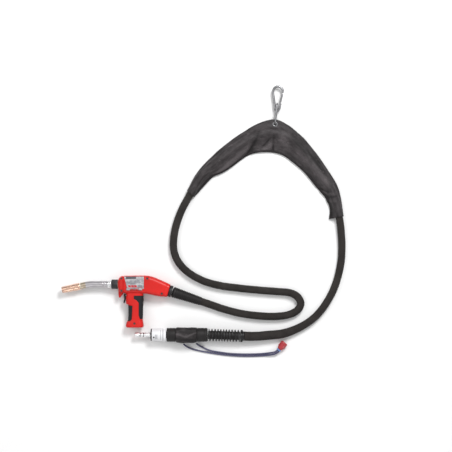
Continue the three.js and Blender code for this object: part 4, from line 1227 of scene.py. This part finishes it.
# Inner and small machined pieces are right as they are: their edges are eased.
KEPT_NODES = {
    "steel": [
        "drive_roll", "idler_roll", "cover_hinge_pin", "trigger_pin", "trigger_spring", "gate_pin",
    ],
    "black_steel": [f"shell_screw_{k}" for k in range(1, 6)],
    "motor": ["drive_motor"],
    "cast": ["gearbox", "idler_arm"],
    "dark": ["pressure_lever", "trigger_switch"],
    "brass": ["receiver_block", "outlet_wire_guide", "inlet_wire_guide", "plug_contacts"],
    "core": ["cable_core"],
}


def dress_kept_nodes():
    for look, names in KEPT_NODES.items():
        for name in names:
            node = bpy.data.objects[name]
            dress(node, look)
            if name != "trigger_spring":
                add_bevel(node, KEPT_BEVEL, 2, 40)


dress_kept_nodes()

# ---------------------------------------------------------------------- rear of gun


def ribbed_profile(first, last, start_radius, end_radius, ribs, depth, share=0.62):
    """Raised rings along a taper."""
    pitch = (last - first) / ribs
    profile = []

    def taper(x):
        return start_radius + (end_radius - start_radius) * (x - first) / (last - first)

    for k in range(ribs):
        x = first + k * pitch
        low = taper(x) - depth
        profile += [(x, taper(x)), (x + share * pitch, taper(x + share * pitch))]
        profile += [(x + (share + 0.06) * pitch, low), (x + 0.94 * pitch, low)]
    return profile


def make_rear_of_gun():
    rear = at(REAR_FACE[0], REAR_FACE[1], BARREL_HEIGHT, REAR_ANGLE)
    turned_part("rear_gland", "turned", "torch", "dark", [
        (-11.9, 9.5), (-11.9, 13), (0.4, 13), (0.4, 20), (1.6, 20.9), (3.4, 20.9), (3.8, 20.2),
        (5, 20.2), (5.4, 20.9), (10.6, 20.9), (11.9, 19.8), (11.9, 9.5),
    ], rear)
    start = Vector(REAR_FACE) + REAR_WAY * RELIEF_START
    relief_place = at(start.x, start.y, BARREL_HEIGHT, RELIEF_YAW, RELIEF_DROP)
    profile = [(0, 0), (0, 14.6), (1.2, 17), (4.2, 19.5)]
    profile += ribbed_profile(6, 100, 19.5, 15.3, 15, 1.9)
    profile += [(101, 15.2), (106, 14.8), (107.9, 13.9), (107.9, 0)]
    turned_part("gun_strain_relief", "ribbed", "torch", "boot", profile, relief_place, 72, ring=False)


make_rear_of_gun()

# ------------------------------------------------------------------- leather sling

# The leather's outline: the folded outer edge, then the loose inner edge.
SLING_OUTER = [
    (189, 338), (207, 373.5), (229, 408), (258, 441), (325, 501), (396, 551), (434, 573),
    (478, 589.5), (507.6, 592), (549, 573), (590, 540.5), (621, 509.5), (660, 459.5), (707, 390.5),
    (729, 352), (741, 307), (748.5, 262), (750.5, 242.5),
]
SLING_INNER = [
    (213.8, 315.7), (243, 346), (279, 384.5), (317, 402), (351, 423.5), (401, 459), (436, 471.7),
    (485, 474), (530, 463.5), (567, 438), (611, 399), (650, 351), (686, 308), (701, 272), (698, 232),
]

# Folds pressed into the leather: from, to, half width, height, painted highlight (+) or painted shade
# (-).
SLING_FOLDS = [
    ((268, 366), (340, 428), 10, 1.4, 1.0), ((330, 420), (408, 494), 9, 1.8, 0.9),
    ((392, 440), (428, 503), 6, -1.6, -0.8), ((430, 503), (446, 548), 6, -1.0, -0.5),
    ((441, 458), (496, 507), 8, 1.6, 0.9), ((458, 492), (486, 524), 4, -1.0, -0.6),
    ((499, 536), (498, 470), 4.5, -1.4, -0.7), ((520, 530), (556, 486), 15, 1.2, 0.8),
    ((575, 480), (640, 420), 12, 1.4, 0.8), ((640, 420), (690, 350), 10, 1.2, 0.7),
    ((573, 516), (647, 446), 5, -1.5, -0.8), ((647, 446), (684, 392), 5, -1.4, -0.7),
    ((651, 346), (702, 329), 4, -1.5, -0.6), ((680, 312), (727, 314), 4, -1.5, -0.6),
    ((668, 334), (716, 321), 4, 1.2, 0.5), ((690, 298), (724, 296), 4, 1.0, 0.4),
    ((284, 362), (401, 430), 3.5, -0.9, -0.8),
]

SLING_STATIONS = 150
SLING_PROFILE = 76
CREST_COLUMN = 22
LINE_RUN_ON = 80
SHEET_COLUMN = 0.0016  # metres of leather between two columns, on the Surface map
EYELET_HOLE = 6.6
EYELET_TURN = 2.2

# The leather's middle runs at this distance from the cable's centre, and rises from here on.
WRAP = HOSE_DIAMETER / 2 + LEATHER / 2 + 0.8
UNDER_CABLE = 1.0

# Its least reach to both sides of the cable, and where it lies on the cable.
LEAST_OUTER = 16.4
LEAST_INNER = 15.8
OVER_CABLE = 14
FOLD_STRENGTH = 1.7

# Middle heights of the leather: on the floor, at its upper hem, and at its fold.
FLOOR_LAYER = 1.6
HEM_HEIGHT = 6.8
FOLD_HEIGHT = 13

# The hem's turned strip: places across it, in from the edge; then its stitches.
HEM_MARKS = (0.6, 2, 4, 6, 8)
HEM_LIFT = 0.62
STITCH_LINE = 6.3
STITCH_LIFT = 1.3
STITCH_STEP = 1.25


def ray_reach(start, direction, line):
    """Distance from a point to a line of points, along a direction; the line's ends run on."""
    before = line[0] + (line[0] - line[1]).normalized() * LINE_RUN_ON
    after = line[-1] + (line[-1] - line[-2]).normalized() * LINE_RUN_ON
    points = [before, *line[1:-1], after]
    best = None
    for a, b in zip(points, points[1:]):
        edge = b - a
        cross = direction.x * edge.y - direction.y * edge.x
        if abs(cross) < 1e-9:
            continue
        gap = a - start
        reach = (gap.x * edge.y - gap.y * edge.x) / cross
        share = (gap.x * direction.y - gap.y * direction.x) / cross
        if reach > 0 and -1e-6 <= share <= 1 + 1e-6 and (best is None or reach < best):
            best = reach
    return best


def taut_line(points):
    """The upper convex hull of points that are sorted by their first number."""
    hull = []
    for p in points:
        while len(hull) > 1:
            a, b = hull[-2], hull[-1]
            if (b.x - a.x) * (p.y - a.y) - (b.y - a.y) * (p.x - a.x) < 0:
                break
            hull.pop()
        hull.append(p)
    return hull


def sling_profile(outer, inner, middle, fold_height, flat):
    """The leather's middle line across the cable: upper hem, over it, fold, under it, lower hem.

    The first number is the distance outwards from the cable's centre line, the second the
    height; flat is 1 where the layers are pressed together at the eyelet.
    """
    edge = outer - LEATHER / 2
    bend = edge - EYELET_TURN
    line = sling_top(edge, inner, middle, Vector((bend, fold_height + EYELET_TURN)), flat)
    for k in range(1, 8):
        angle = k * math.pi / 8
        along, up = EYELET_TURN * math.sin(angle), EYELET_TURN * math.cos(angle)
        line.append(Vector((bend + along, fold_height + up)))
    low = Vector((bend, fold_height - EYELET_TURN))
    line.append(low)
    for k in range(1, 25):
        n = low.x + (UNDER_CABLE - low.x) * k / 24
        rise = smoothstep(UNDER_CABLE, low.x, n)
        straight = max(0.0, (n - UNDER_CABLE) / (low.x - UNDER_CABLE))
        rise = rise + (straight - rise) * 0.5 * flat
        line.append(Vector((n, FLOOR_LAYER + (low.y - FLOOR_LAYER) * rise)))
    for k in range(1, 21):
        height = FLOOR_LAYER + (1.1 * (k / 20) ** 4)
        line.append(Vector((UNDER_CABLE - (UNDER_CABLE + inner) * k / 20, height)))
    line = [pushed_out(p, middle) for p in line]
    return resampled([Vector((p.x, p.y, 0)) for p in line], steps=SLING_PROFILE - 1)


def sling_top(edge, inner, middle, fold, flat):
    """From the upper hem over the cable to the fold: taut, with a little sag on both sides."""
    arc = []
    for k in range(37):
        angle = k * math.pi / 36
        arc.append(Vector((-WRAP * math.cos(angle), middle + WRAP * math.sin(angle))))
    taut = taut_line(sorted([Vector((-inner, HEM_HEIGHT)), *arc, fold], key=lambda p: p.x))
    held = WRAP * 0.75
    sagged = []
    for p in resampled([Vector((p.x, p.y, 0)) for p in taut], 1.5):
        hang = 0.0
        if p.x < -held:
            u = (p.x + inner) / max(inner - held, 1)
            hang = 0.10 * (inner - WRAP) * 4 * u * (1 - u)
        elif p.x > held:
            u = (p.x - held) / max(edge - EYELET_TURN - held, 1)
            hang = 0.22 * (edge - WRAP) * 4 * u * (1 - u) * (1 - 0.4 * flat)
        sagged.append(Vector((p.x, p.y - max(0.0, hang))))
    return sagged


def pushed_out(p, middle):
    """The point, or the nearest one that clears the cable."""
    offset = p - Vector((0, middle))
    return p if offset.length >= WRAP else Vector((0, middle)) + offset.normalized() * WRAP


def fold_field(x, y, folds):
    """Height that pressed folds give the leather at a place, and their painted light: highlights on
    ridges, shade in valleys.
    """
    height = painted_light = 0.0
    for start, end, half, lift, tone in folds:
        a, b, p = Vector(start), Vector(end), Vector((x, y))
        along = (b - a).normalized()
        run = (p - a).dot(along)
        length = (b - a).length
        bend = 3.0 * noise.noise(Vector((x * 0.03, y * 0.03, lift)))
        side = (p - a).dot(Vector((-along.y, along.x))) + bend
        if side * side > 9 * half * half:
            continue
        first = smoothstep(-0.25 * length, 0.2 * length, run)
        last = smoothstep(1.25 * length, 0.8 * length, run)
        weight = first * last * math.exp(-(side / half) ** 2)
        height += lift * weight
        painted_light += tone * weight
    return height, painted_light


def sling_rows():
    """Rows of the leather's middle surface, one per station along the cable."""
    outer_line = smooth_route([(x, y, 0) for x, y in SLING_OUTER], 4)
    inner_line = smooth_route([(x, y, 0) for x, y in SLING_INNER], 4)
    first, last = SLING_SPAN
    rows = []
    for i in range(SLING_STATIONS + 1):
        share = i / SLING_STATIONS
        place = first + (last - first) * share
        centre = route_point(HOSE_ROUTE, place)
        ahead = route_point(HOSE_ROUTE, place + 0.05) - route_point(HOSE_ROUTE, place - 0.05)
        outward = Vector((-ahead.y, ahead.x, 0)).normalized()
        for end, end_share in ((0, share), (-1, 1 - share)):
            cut = (outer_line[end] - inner_line[end]).normalized()
            outward = outward.lerp(cut, 1 - smoothstep(0.0, 0.11, end_share)).normalized()
        base = Vector((centre.x, centre.y, 0))
        outer = max(LEAST_OUTER, ray_reach(base, outward, outer_line))
        inner = max(LEAST_INNER, ray_reach(base, -outward, inner_line))
        near_eyelet = 1 - smoothstep(30, 150, (base - Vector((*EYELET, 0))).length)
        fold_height = FOLD_HEIGHT + (SLING_HEIGHT - FOLD_HEIGHT) * near_eyelet
        line = sling_profile(outer, inner, centre.z, fold_height, near_eyelet)
        rows.append([(base + outward * p.x, p.y, p.x, outer, inner) for p in line])
    return rows


def sling_surface():
    """Points of the leather's middle surface, with its folds and creases, and its painted light:
    highlights on fold ridges, shade in fold valleys and at the turned-down edges.
    """
    rows = sling_rows()
    points, painted_light_and_wear = [], []
    for row in rows:
        for k, (base, height, offset, outer, inner) in enumerate(row):
            before, after = row[max(k - 1, 0)], row[min(k + 1, len(row) - 1)]
            slope = Vector((after[2] - before[2], after[1] - before[1])).normalized()
            normal = Vector((-slope.y, slope.x))
            upper = smoothstep(0.58, 0.46, k / (len(row) - 1))
            lift, painted_light = fold_field(base.x, base.y, SLING_FOLDS)
            lift *= FOLD_STRENGTH
            ripple = noise.noise(Vector((base.x * 0.035, base.y * 0.035, k * 0.03)))
            fine = noise.noise(Vector((base.x * 0.11, base.y * 0.11, k * 0.08)))
            near = smoothstep(13, 26, (Vector((base.x, base.y)) - Vector(EYELET)).length)
            if lift < 0 and abs(offset) <= OVER_CABLE:
                lift *= 0.35
            push = near * (lift * upper + 0.9 * ripple + 0.35 * fine)
            push = max(-1.2 if abs(offset) < OVER_CABLE else -3.0, push)
            direction = after[0] - before[0]
            across = direction.normalized() if direction.length > 1e-6 else Vector((0, 0, 0))
            if after[2] < before[2]:
                across = -across
            spot = Vector((base.x, base.y, height)) + across * (normal.x * push)
            spot = pressed_at_eyelet(spot + Vector((0, 0, normal.y * push)))
            spot.z = max(spot.z, LEATHER / 2 + 0.25)
            points.append(spot)
            # Painted shade where the upper layer turns down to the outer fold and to the inner hem.
            painted_light -= 0.9 * smoothstep(5, 1, outer - offset) + 0.7 * smoothstep(9, 7, offset + inner)
            painted_light_and_wear.append(0.5 + 0.5 * max(-1.0, min(1.0, painted_light * upper)))
    return points, painted_light_and_wear, len(rows), len(rows[0])


def pressed_at_eyelet(spot):
    """The two layers lie flat round the eyelet, one on each side of its ring."""
    away = (Vector((spot.x, spot.y)) - Vector(EYELET)).length
    press = 1 - smoothstep(9, 24, away)
    if press <= 0:
        return spot
    side = 1 if spot.z > SLING_HEIGHT else -1
    target = SLING_HEIGHT + side * EYELET_TURN
    spot.z += (target - spot.z) * press
    return spot


def grid_mesh(name, points, rows, columns, painted_light_and_wear):
    """An open sheet of rows and columns of points, with its painted light and wear at each."""
    faces, uvs = [], []
    middle = points[columns // 2::columns]
    run = 0.0
    for i in range(rows - 1):
        after = run + (middle[i + 1] - middle[i]).length
        for k in range(i * columns, (i + 1) * columns - 1):
            faces.append([k, k + columns, k + columns + 1, k + 1])
            left = (k - i * columns) * SHEET_COLUMN
            right = (k + 1 - i * columns) * SHEET_COLUMN
            uvs += [(left, run * MM), (left, after * MM), (right, after * MM), (right, run * MM)]
        run = after
    made = link_mesh(name, points, faces, uvs, 80)
    layer = made.data.attributes.new("wear_and_painted_light", "FLOAT", "POINT")
    layer.data.foreach_set("value", painted_light_and_wear)
    return made


def thickened(piece, thickness):
    solid = piece.modifiers.new("thickness", "SOLIDIFY")
    solid.thickness = thickness * MM
    solid.offset = 0
    return facing_out(applied(piece))


def make_sling():
    """One leather sheet folded over the cable, with a rolled hem, stitches and an eyelet hole."""
    points, painted_light_and_wear, rows, columns = sling_surface()
    sling = grid_mesh("sling_leather", points, rows, columns, painted_light_and_wear)
    area = sum(face.area for face in sling.data.polygons)
    thickened(sling, LEATHER)
    hole = rod((*EYELET, 5), (*EYELET, 30), EYELET_HOLE, 40)
    carved(sling, hole)
    resting(sling)
    sling.data.shade_smooth()
    fitted(sling, "leather", "torch", "sling")
    hem = make_sling_hem(points, rows, columns)
    threads = make_sling_stitches(points, rows, columns)
    girth = max(length_of(points[i:i + columns]) for i in range(0, len(points), columns))
    run = length_of(points[CREST_COLUMN::columns])
    return sling, hem, threads, girth * MM, run * MM, area


def hem_place(points, columns, i, distance, lift):
    """A point on the leather's upper face, a distance in from its upper hem."""
    run = 0.0
    for k in range(columns - 1):
        a, b = points[i * columns + k], points[i * columns + k + 1]
        step = (b - a).length
        if run + step >= distance:
            spot = a.lerp(b, (distance - run) / step)
            return spot + face_normal(points, columns, i, k) * lift
        run += step
    return None


def face_normal(points, columns, i, k):
    count = len(points) // columns
    before, after = max(i - 1, 0), min(i + 1, count - 1)
    along = points[after * columns + k] - points[before * columns + k]
    across = points[i * columns + min(k + 1, columns - 1)] - points[i * columns + max(k - 1, 0)]
    normal = across.cross(along).normalized()
    return normal if normal.z > 0 else -normal


def make_sling_hem(points, rows, columns):
    """The turned and sewn edge along the inner side: a second, thinner layer."""
    lift = LEATHER / 2 + HEM_LIFT
    strip = [hem_place(points, columns, i, d, lift) for i in range(rows) for d in HEM_MARKS]
    # The hem's tone is held low: painted shade along the inner edge.
    hem = grid_mesh("sling_turned_hem", strip, rows, len(HEM_MARKS), [0.12] * len(strip))
    thickened(hem, 1.0)
    bevelled(hem, 0.35, 2, 50)
    fitted(hem, "leather", "torch", slot="leather")
    return hem


def make_sling_stitches(points, rows, columns):
    """Short thread stitches, sunk a little into the leather, along the hem."""
    lift = LEATHER / 2 + STITCH_LIFT
    line = [hem_place(points, columns, i, STITCH_LINE, lift) for i in range(rows)]
    return stitched("sling_hem_stitches", line, 2, 5)


def stitched(name, line, first, kept_back, place=None):
    """Thread stitches along a line, from its first even point on."""
    even = resampled(line, STITCH_STEP)
    verts, faces = [], []
    for i in range(first, len(even) - kept_back, 4):
        add_stitch(verts, faces, even[i:i + 4])
    return fitted(link_mesh(name, verts, faces), "thread", "torch", slot="textile", place=place)


def add_stitch(verts, faces, line):
    """One closed capsule of thread whose ends dip down into the leather."""
    sides = 6
    frames = moving_frames(line, False)
    base = len(verts)
    for i, (spot, (across, upward)) in enumerate(zip(line, frames)):
        end = i in (0, len(line) - 1)
        centre = spot - Vector((0, 0, 0.35 if end else 0.0))
        reach = 0.22 if end else 0.42
        for s in range(sides):
            angle = 2 * math.pi * s / sides
            verts.append(centre + (across * math.cos(angle) + upward * math.sin(angle)) * reach)
    last = base + (len(line) - 1) * sides
    for level in range(base, last, sides):
        for s in range(sides):
            t = (s + 1) % sides
            faces.append([level + s, level + sides + s, level + sides + t, level + t])
    faces.append([base + s for s in range(sides)])
    faces.append([last + s for s in range(sides)][::-1])


sling, sling_hem, sling_threads, sling_girth, sling_length, sling_area = make_sling()

# --------------------------------------------------------------------- hanging parts

LINK_BAR = 3.4
LINK_HALF_HEIGHT = 10
LINK_LENGTH = 75
LINK_LEAN = -5.5
HOOK_BAR = 4.5
GATE_HINGE = (18, 645.5)
GATE_HOLE = 1.9
HOOK_PLACE = at(EYELET[0], 0, SLING_HEIGHT)

# The hook's bar, from the fork at the gate's hinge round to the gate's nose.
HOOK_ROUTE = [
    (18.2, 651, 0), (17.4, 642, 0), (14.8, 630, 0), (8.5, 622.6, 0), (0.5, 628, 0), (-1.5, 642, 0),
    (-3.6, 660, 0), (-6.6, 678, 0), (-7.4, 691, 0), (-3.8, 702.4, 0), (4.4, 708.8, 0), (12, 709.6, 0),
    (20.4, 706, 0), (26.4, 698, 0), (27.6, 688, 0),
]


def make_eyelet():
    ring = [
        (5, 0), (5, 2.4), (5.5, 3.5), (6.8, 4.1), (8.2, 4.0), (9, 3.6), (9, 3.3), (6.3, 3.3),
        (6.3, -3.3), (9, -3.3), (9, -3.6), (8.2, -4.0), (6.8, -4.1), (5.5, -3.5), (5, -2.4),
    ]
    place = at(*EYELET, SLING_HEIGHT) @ Matrix.Rotation(math.radians(-90), 4, "Y")
    profile = [(height, radius) for radius, height in ring]
    return turned_part("sling_eyelet", "rolled", "torch", "steel", profile, place, round_off=0.3)


def make_link():
    straight = LINK_LENGTH - 2 * LINK_HALF_HEIGHT
    knots = []
    for i in range(32):
        angle = (i + 0.5) / 32 * 2 * math.pi - math.pi / 2
        near = math.cos(angle) < 0
        y = LINK_HALF_HEIGHT * (1 + math.cos(angle)) + (0 if near else straight)
        knots.append((0, y - 1, LINK_HALF_HEIGHT * math.sin(angle)))
    path = smooth_route(knots, 1.5, closed=True)[:-1]
    place = at(*EYELET, SLING_HEIGHT, LINK_LEAN)
    link = tube("hook_link_bar", path, LINK_BAR, 24, closed=True, place=place)
    fitted(link, "steel", "link", "hook_link")


def make_hook():
    """A forged bar with a rounded nose, forked where its gate turns."""
    path = smooth_route(HOOK_ROUTE, 1.4)

    def thickness(run, angle):
        return HOOK_BAR * (1 - 0.07 * math.cos(run * 0.055) ** 2)

    hook = tube("snap_hook_bar", path, thickness, 32, rounded_ends=1.6)
    carved(hook, joined(brick(9, 26, 640, 653, -3.5, 3.5), pin_hole(GATE_HINGE, 8, GATE_HOLE, 24)))
    fitted(shaded(hook, 40), "steel", "hook", "snap_hook", place=HOOK_PLACE)
    line = smooth_route([(18.2, 649.5, 0), (20.2, 658, 0), (24.2, 675, 0), (26.2, 683.5, 0)], 1.5)

    def gate_radius(run, angle):
        return 3.4 - 0.5 * smoothstep(8, 0, run)

    gate = tube("hook_gate_bar", line, gate_radius, 28, rounded_ends=0.9)
    joined(gate, pin_hole(GATE_HINGE, 3.2, 4.6), brick(15.6, 21, 645.6, 651, -3, 3))
    carved(gate, pin_hole(GATE_HINGE, 6, GATE_HOLE, 24))
    fitted(shaded(gate, 40), "steel", "gate", "hook_gate", place=HOOK_PLACE)


eyelet_piece = make_eyelet()
make_link()
make_hook()

# ------------------------------------------------------------------ rear connector

AXIS = at(*CONNECTOR_PLACE)
TAIL_START = 262.9
TAIL_DROOP = -2
TAIL = AXIS @ at(TAIL_START, 0, 0, TAIL_DROOP)
PIN_GROOVES = (19.2, 31.2)
SEAL_RADIUS = 7.4
SEAL_WIRE = 0.85
LABEL_RADIUS = 22.7
SPRING_TURNS = 10.5
SPRING_SPAN = (2.6, 113.9)
SPRING_RADIUS = 21
SPRING_TAPER = 0.8
SPRING_WIRE = 1.8

# Plain marks on the plug's label: place along it, width, start and sweep round it in degrees.
LABEL_MARKS = [
    (66.5, 5.4, 104, 15), (74.5, 1.2, 86, 42), (77.5, 1.2, 86, 42), (80.5, 1.2, 86, 42),
    (93, 1, 40, 100),
]


def make_feeder_pin():
    turned_part("feeder_pin", "turned", "torch", "pin", [
        (0, 3.7), (0, 7.0), (1.2, 8), (18, 8), (18.2, 6.5), (20.2, 6.5), (20.4, 8), (30, 8),
        (30.2, 6.5), (32.2, 6.5), (32.4, 8), (54, 8), (54.3, 7.6), (57, 7.6), (57, 6), (80, 6),
        (80, 3.7),
    ], AXIS, round_off=0.25)
    for k, groove in enumerate(PIN_GROOVES, 1):
        circle = []
        for step in range(12):
            angle = step * math.pi / 6
            along, up = SEAL_WIRE * math.cos(angle), SEAL_WIRE * math.sin(angle)
            circle.append((groove + along, SEAL_RADIUS + up))
        seal = turned(f"pin_o_ring_{k}", circle, AXIS, 48, ring=True, round_off=0.05)
        fitted(seal, "pad", "torch", f"pin_seal_{k}")


def make_connector_block():
    turned_part("connector_block", "turned", "torch", "dark", [
        (57.5, 6.4), (57.5, 20.4), (58.8, 21.9), (61.8, 21.9), (61.9, 21.5), (101.6, 21.5),
        (101.7, 11.6), (123.8, 11.6), (123.8, 3.4), (80.8, 3.4), (80.8, 6.4),
    ], AXIS, 72, round_off=0.3)
    film = [(62.1, 21.8), (62.1, LABEL_RADIUS), (101.2, LABEL_RADIUS), (101.2, 21.8)]
    turned_part("connector_label", "film", "torch", "white", film, AXIS, 72, round_off=0.15)
    turned_part("marker_ring", "turned", "torch", "white", [
        (102.5, 12.2), (102.5, 22.3), (103.2, 23.1), (112, 23.1), (112.7, 22.3), (112.7, 12.2),
    ], AXIS, 72)
    for k, (x, width, start, sweep) in enumerate(LABEL_MARKS, 1):
        mark = curved_patch(f"label_mark_{k}", x, x + width, start, start + sweep)
        fitted(mark, "grey" if k > 1 else "dark", "torch", slot="dark_plastic")


def curved_patch(name, x0, x1, start, end):
    """A thin printed patch that lies on the plug's round label."""
    steps = 12
    low = LABEL_RADIUS + 0.02
    high = low + 0.12
    points, faces = [], []
    for k in range(steps + 1):
        angle = math.radians(start + (end - start) * k / steps)
        points += [on_circle(x, r, angle) for x, r in ((x0, low), (x1, low), (x1, high), (x0, high))]
    for k in range(steps):
        for s in range(4):
            t = (s + 1) % 4
            faces.append([k * 4 + s, k * 4 + t, k * 4 + 4 + t, k * 4 + 4 + s])
    faces += [[3, 2, 1, 0], [steps * 4 + s for s in range(4)]]
    return facing_out(link_mesh(name, points, faces), AXIS)


def make_boot():
    turned_part("connector_boot", "turned", "torch", "boot", [
        (115.1, 12.1), (115.1, 23.2), (116.6, 24.7), (122, 24.7), (122.6, 24), (125, 24), (125.6, 24.7),
        (145.4, 24.7), (146.5, 23.9), (146.5, 19), (224.1, 19), (224.1, 23.9), (225, 24.7), (248, 24.7),
        (248.6, 23.9), (251, 23.9), (251.6, 24.6), (259, 24.5), (261.9, 21.8), (261.9, 4.1),
        (124.8, 4.1), (124.8, 12.1),
    ], AXIS, 72)


def make_rear_relief():
    """The sleeve that the coil spring sits on, and the clamp behind it that holds the cable."""
    profile = [(0.1, 0), (0.1, 14.4), (1.1, 15.2), (114, 15), (115.1, 14.2), (115.1, 0)]
    turned_part("relief_sleeve", "turned", "torch", "boot", profile, TAIL, 48, ring=False)
    clamp = turned("spring_clamp_turned", [
        (115.7, 0), (115.7, 16.6), (116.6, 17.4), (121, 17.4), (121.5, 16.8), (124, 16.8),
        (124.5, 17.4), (128.7, 17.2), (129.5, 16.4), (129.5, 0),
    ], TAIL, 56)
    for low in (14.4, -21.7):
        lug = bevelled(brick(117.2, 124.3, low, low + 7.3, -3.9, 3.9), 0.8)
        joined(clamp, moved(lug, TAIL))
    fitted(shaded(clamp, 38), "spring", "torch", "spring_clamp")


def make_relief_spring():
    """A round-wire spring on a slight taper, its turns uneven in their spacing."""
    first, last = SPRING_SPAN
    path = []
    steps = round(SPRING_TURNS * 32)
    for k in range(steps + 1):
        t = k / steps
        x = first + (last - first) * (t + 0.012 * math.sin(2 * math.pi * t))
        angle = 2 * math.pi * SPRING_TURNS * t
        radius = SPRING_RADIUS - SPRING_TAPER * t
        path.append(Vector(on_circle(x, radius, angle)))
    spring = tube("relief_spring_wire", path, SPRING_WIRE, 12, place=TAIL, rounded_ends=0.8)
    fitted(spring, "spring", "torch", "relief_spring")


make_feeder_pin()
make_connector_block()
make_boot()
make_rear_relief()
make_relief_spring()

# --------------------------------------------------------------- leather cuff

# Stations of the cuff: along the connector, half width, shift towards the leads.
CUFF_STATIONS = [
    (147.6, 24.6, 0), (149.6, 26.4, -0.1), (152.6, 27.6, -0.4), (170, 28.4, -1.8), (186, 27.9, -1.4),
    (205, 28.4, -1.8), (217, 27.5, -0.8), (221, 26.3, -0.2), (223, 24.8, 0),
]

# Creases on the cuff's upper side, as in the sling, with their painted highlights and shade.
CUFF_FOLDS = [
    ((150, 3), (186, -5), 3.2, 0.7, 1.0), ((186, -5), (222, 7), 3.2, 0.7, 1.0),
    ((160, 12), (210, 14), 3, -0.7, -0.6), ((170, -14), (206, -15), 3, -0.6, -0.6),
]
CUFF_HALF_HEIGHT = 25.3
CUFF_CORNER = 18
CUFF_SEAM = -62
CUFF_OVERLAP = 24
CUFF_COLUMNS = 96
CUFF_INSIDE = 19.7


def cuff_radius(half, height, corner, angle):
    """Distance from the centre to a rounded rectangle's side in one direction."""
    across, up = abs(math.cos(angle)), abs(math.sin(angle))
    flat = min(half / max(across, 1e-6), height / max(up, 1e-6))
    x, y = flat * across, flat * up
    if x <= half - corner or y <= height - corner:
        return flat
    cx, cy = half - corner, height - corner
    b = cx * across + cy * up
    return b + math.sqrt(max(b * b - cx * cx - cy * cy + corner * corner, 0))


def make_cuff():
    """One leather sheet wound once round the boot; it overlaps itself at a sewn seam."""
    along = monotone_rows(CUFF_STATIONS, 5)
    columns = CUFF_COLUMNS + 1
    points, painted_light_and_wear = [], []
    for x, half, shift in along:
        for k in range(columns):
            wound = (360 + CUFF_OVERLAP) * k / CUFF_COLUMNS
            angle = math.radians(CUFF_SEAM + wound)
            across, up = math.cos(angle), math.sin(angle)
            under = LEATHER * 1.15 * smoothstep(30, 14, wound)
            height = CUFF_HALF_HEIGHT * min(1.0, half / 27.2)
            reach = cuff_radius(half, height, CUFF_CORNER, angle) - LEATHER / 2 - 0.2 - under
            soft = noise.noise(Vector((x * 0.05, across * 1.1, up * 1.1)))
            crease = noise.noise(Vector((x * 0.22, across * 1.5 + x * 0.02, up * 1.5)))
            lift, painted_light = (0.0, 0.0)
            if up > 0.3:
                lift, painted_light = fold_field(x, shift + reach * across, CUFF_FOLDS)
            reach += min(0.15, 1.1 * soft - 0.3) + min(0.1, 0.5 * crease) + lift
            reach = max(reach, CUFF_INSIDE + LEATHER / 2)
            points.append(Vector((x, shift + reach * across, reach * up)))
            # Random wear, plus the creases' painted highlights and shade.
            painted_light_and_wear.append(max(0.0, min(1.0, 0.3 + 0.3 * soft + 0.5 * painted_light)))
    cuff = grid_mesh("boot_wrap_leather", points, len(along), columns, painted_light_and_wear)
    area = sum(face.area for face in cuff.data.polygons)
    thickened(cuff, LEATHER)
    cuff.data.shade_smooth()
    fitted(cuff, "leather", "torch", "boot_wrap", place=AXIS)
    girth = max(length_of(points[i:i + columns]) for i in range(0, len(points), columns))
    run = max(length_of(points[k::columns]) for k in range(columns))
    seam = points[columns - 3::columns]
    line = [p + Vector((0, p.y, p.z)).normalized() * (LEATHER / 2 + 0.2) for p in seam]
    threads = stitched("boot_wrap_stitches", line, 3, 6, AXIS)
    return cuff, threads, girth * MM, run * MM, area


cuff, cuff_threads, cuff_girth, cuff_length, cuff_area = make_cuff()

# ------------------------------------------------------------------ control plug

PLUG = at(*PLUG_PLACE, PLUG_ANGLE)


def make_plug():
    """The red plug's shell with its ribbed coupling ring, and the clip on its leads."""
    clip = bevelled(brick(-6.8, -1.4, -7.4, 7.4, -5, 5), 1.1, 3)
    for y in (-3.25, 3.25):
        carved(clip, rod((-9, y, 0), (1, y, 0), 3.4, 28))
    fitted(clip, "clip_blue", "torch", "lead_collar", name="lead_collar_clip", place=PLUG)
    shell = turned("plug_body_shell", [
        (-0.8, 0), (-0.8, 7), (0.2, 8), (3, 9.6), (6, 10.8), (8, 11.3), (21.6, 11.3), (22.6, 12.6),
        (23.2, 13.2), (27, 13.2), (27.6, 12.6), (27.7, 11.4), (29.3, 11.4), (30, 10.9), (30, 10),
        (21, 10), (21, 0),
    ], None, 72, round_off=0.4)
    for k in range(6):
        fin = bevelled(brick(9, 22.4, -1.9, 1.9, 10.4, 12.8), 0.7)
        joined(shell, moved(fin, Matrix.Rotation(math.radians(30 + 60 * k), 4, "X")))
    for k in range(12):
        notch = rod((22, 0, 0), (28.4, 0, 0), 1.3, 12)
        round_ring = Matrix.Rotation(math.radians(30 * k + 15), 4, "X")
        carved(shell, moved(notch, round_ring @ at(0, 0, 13.9)))
    carved(shell, brick(24, 31, -1.2, 1.2, 8, 10.6))
    fitted(shaded(shell, 35), "plug_red", "torch", "plug_body", place=PLUG)


make_plug()
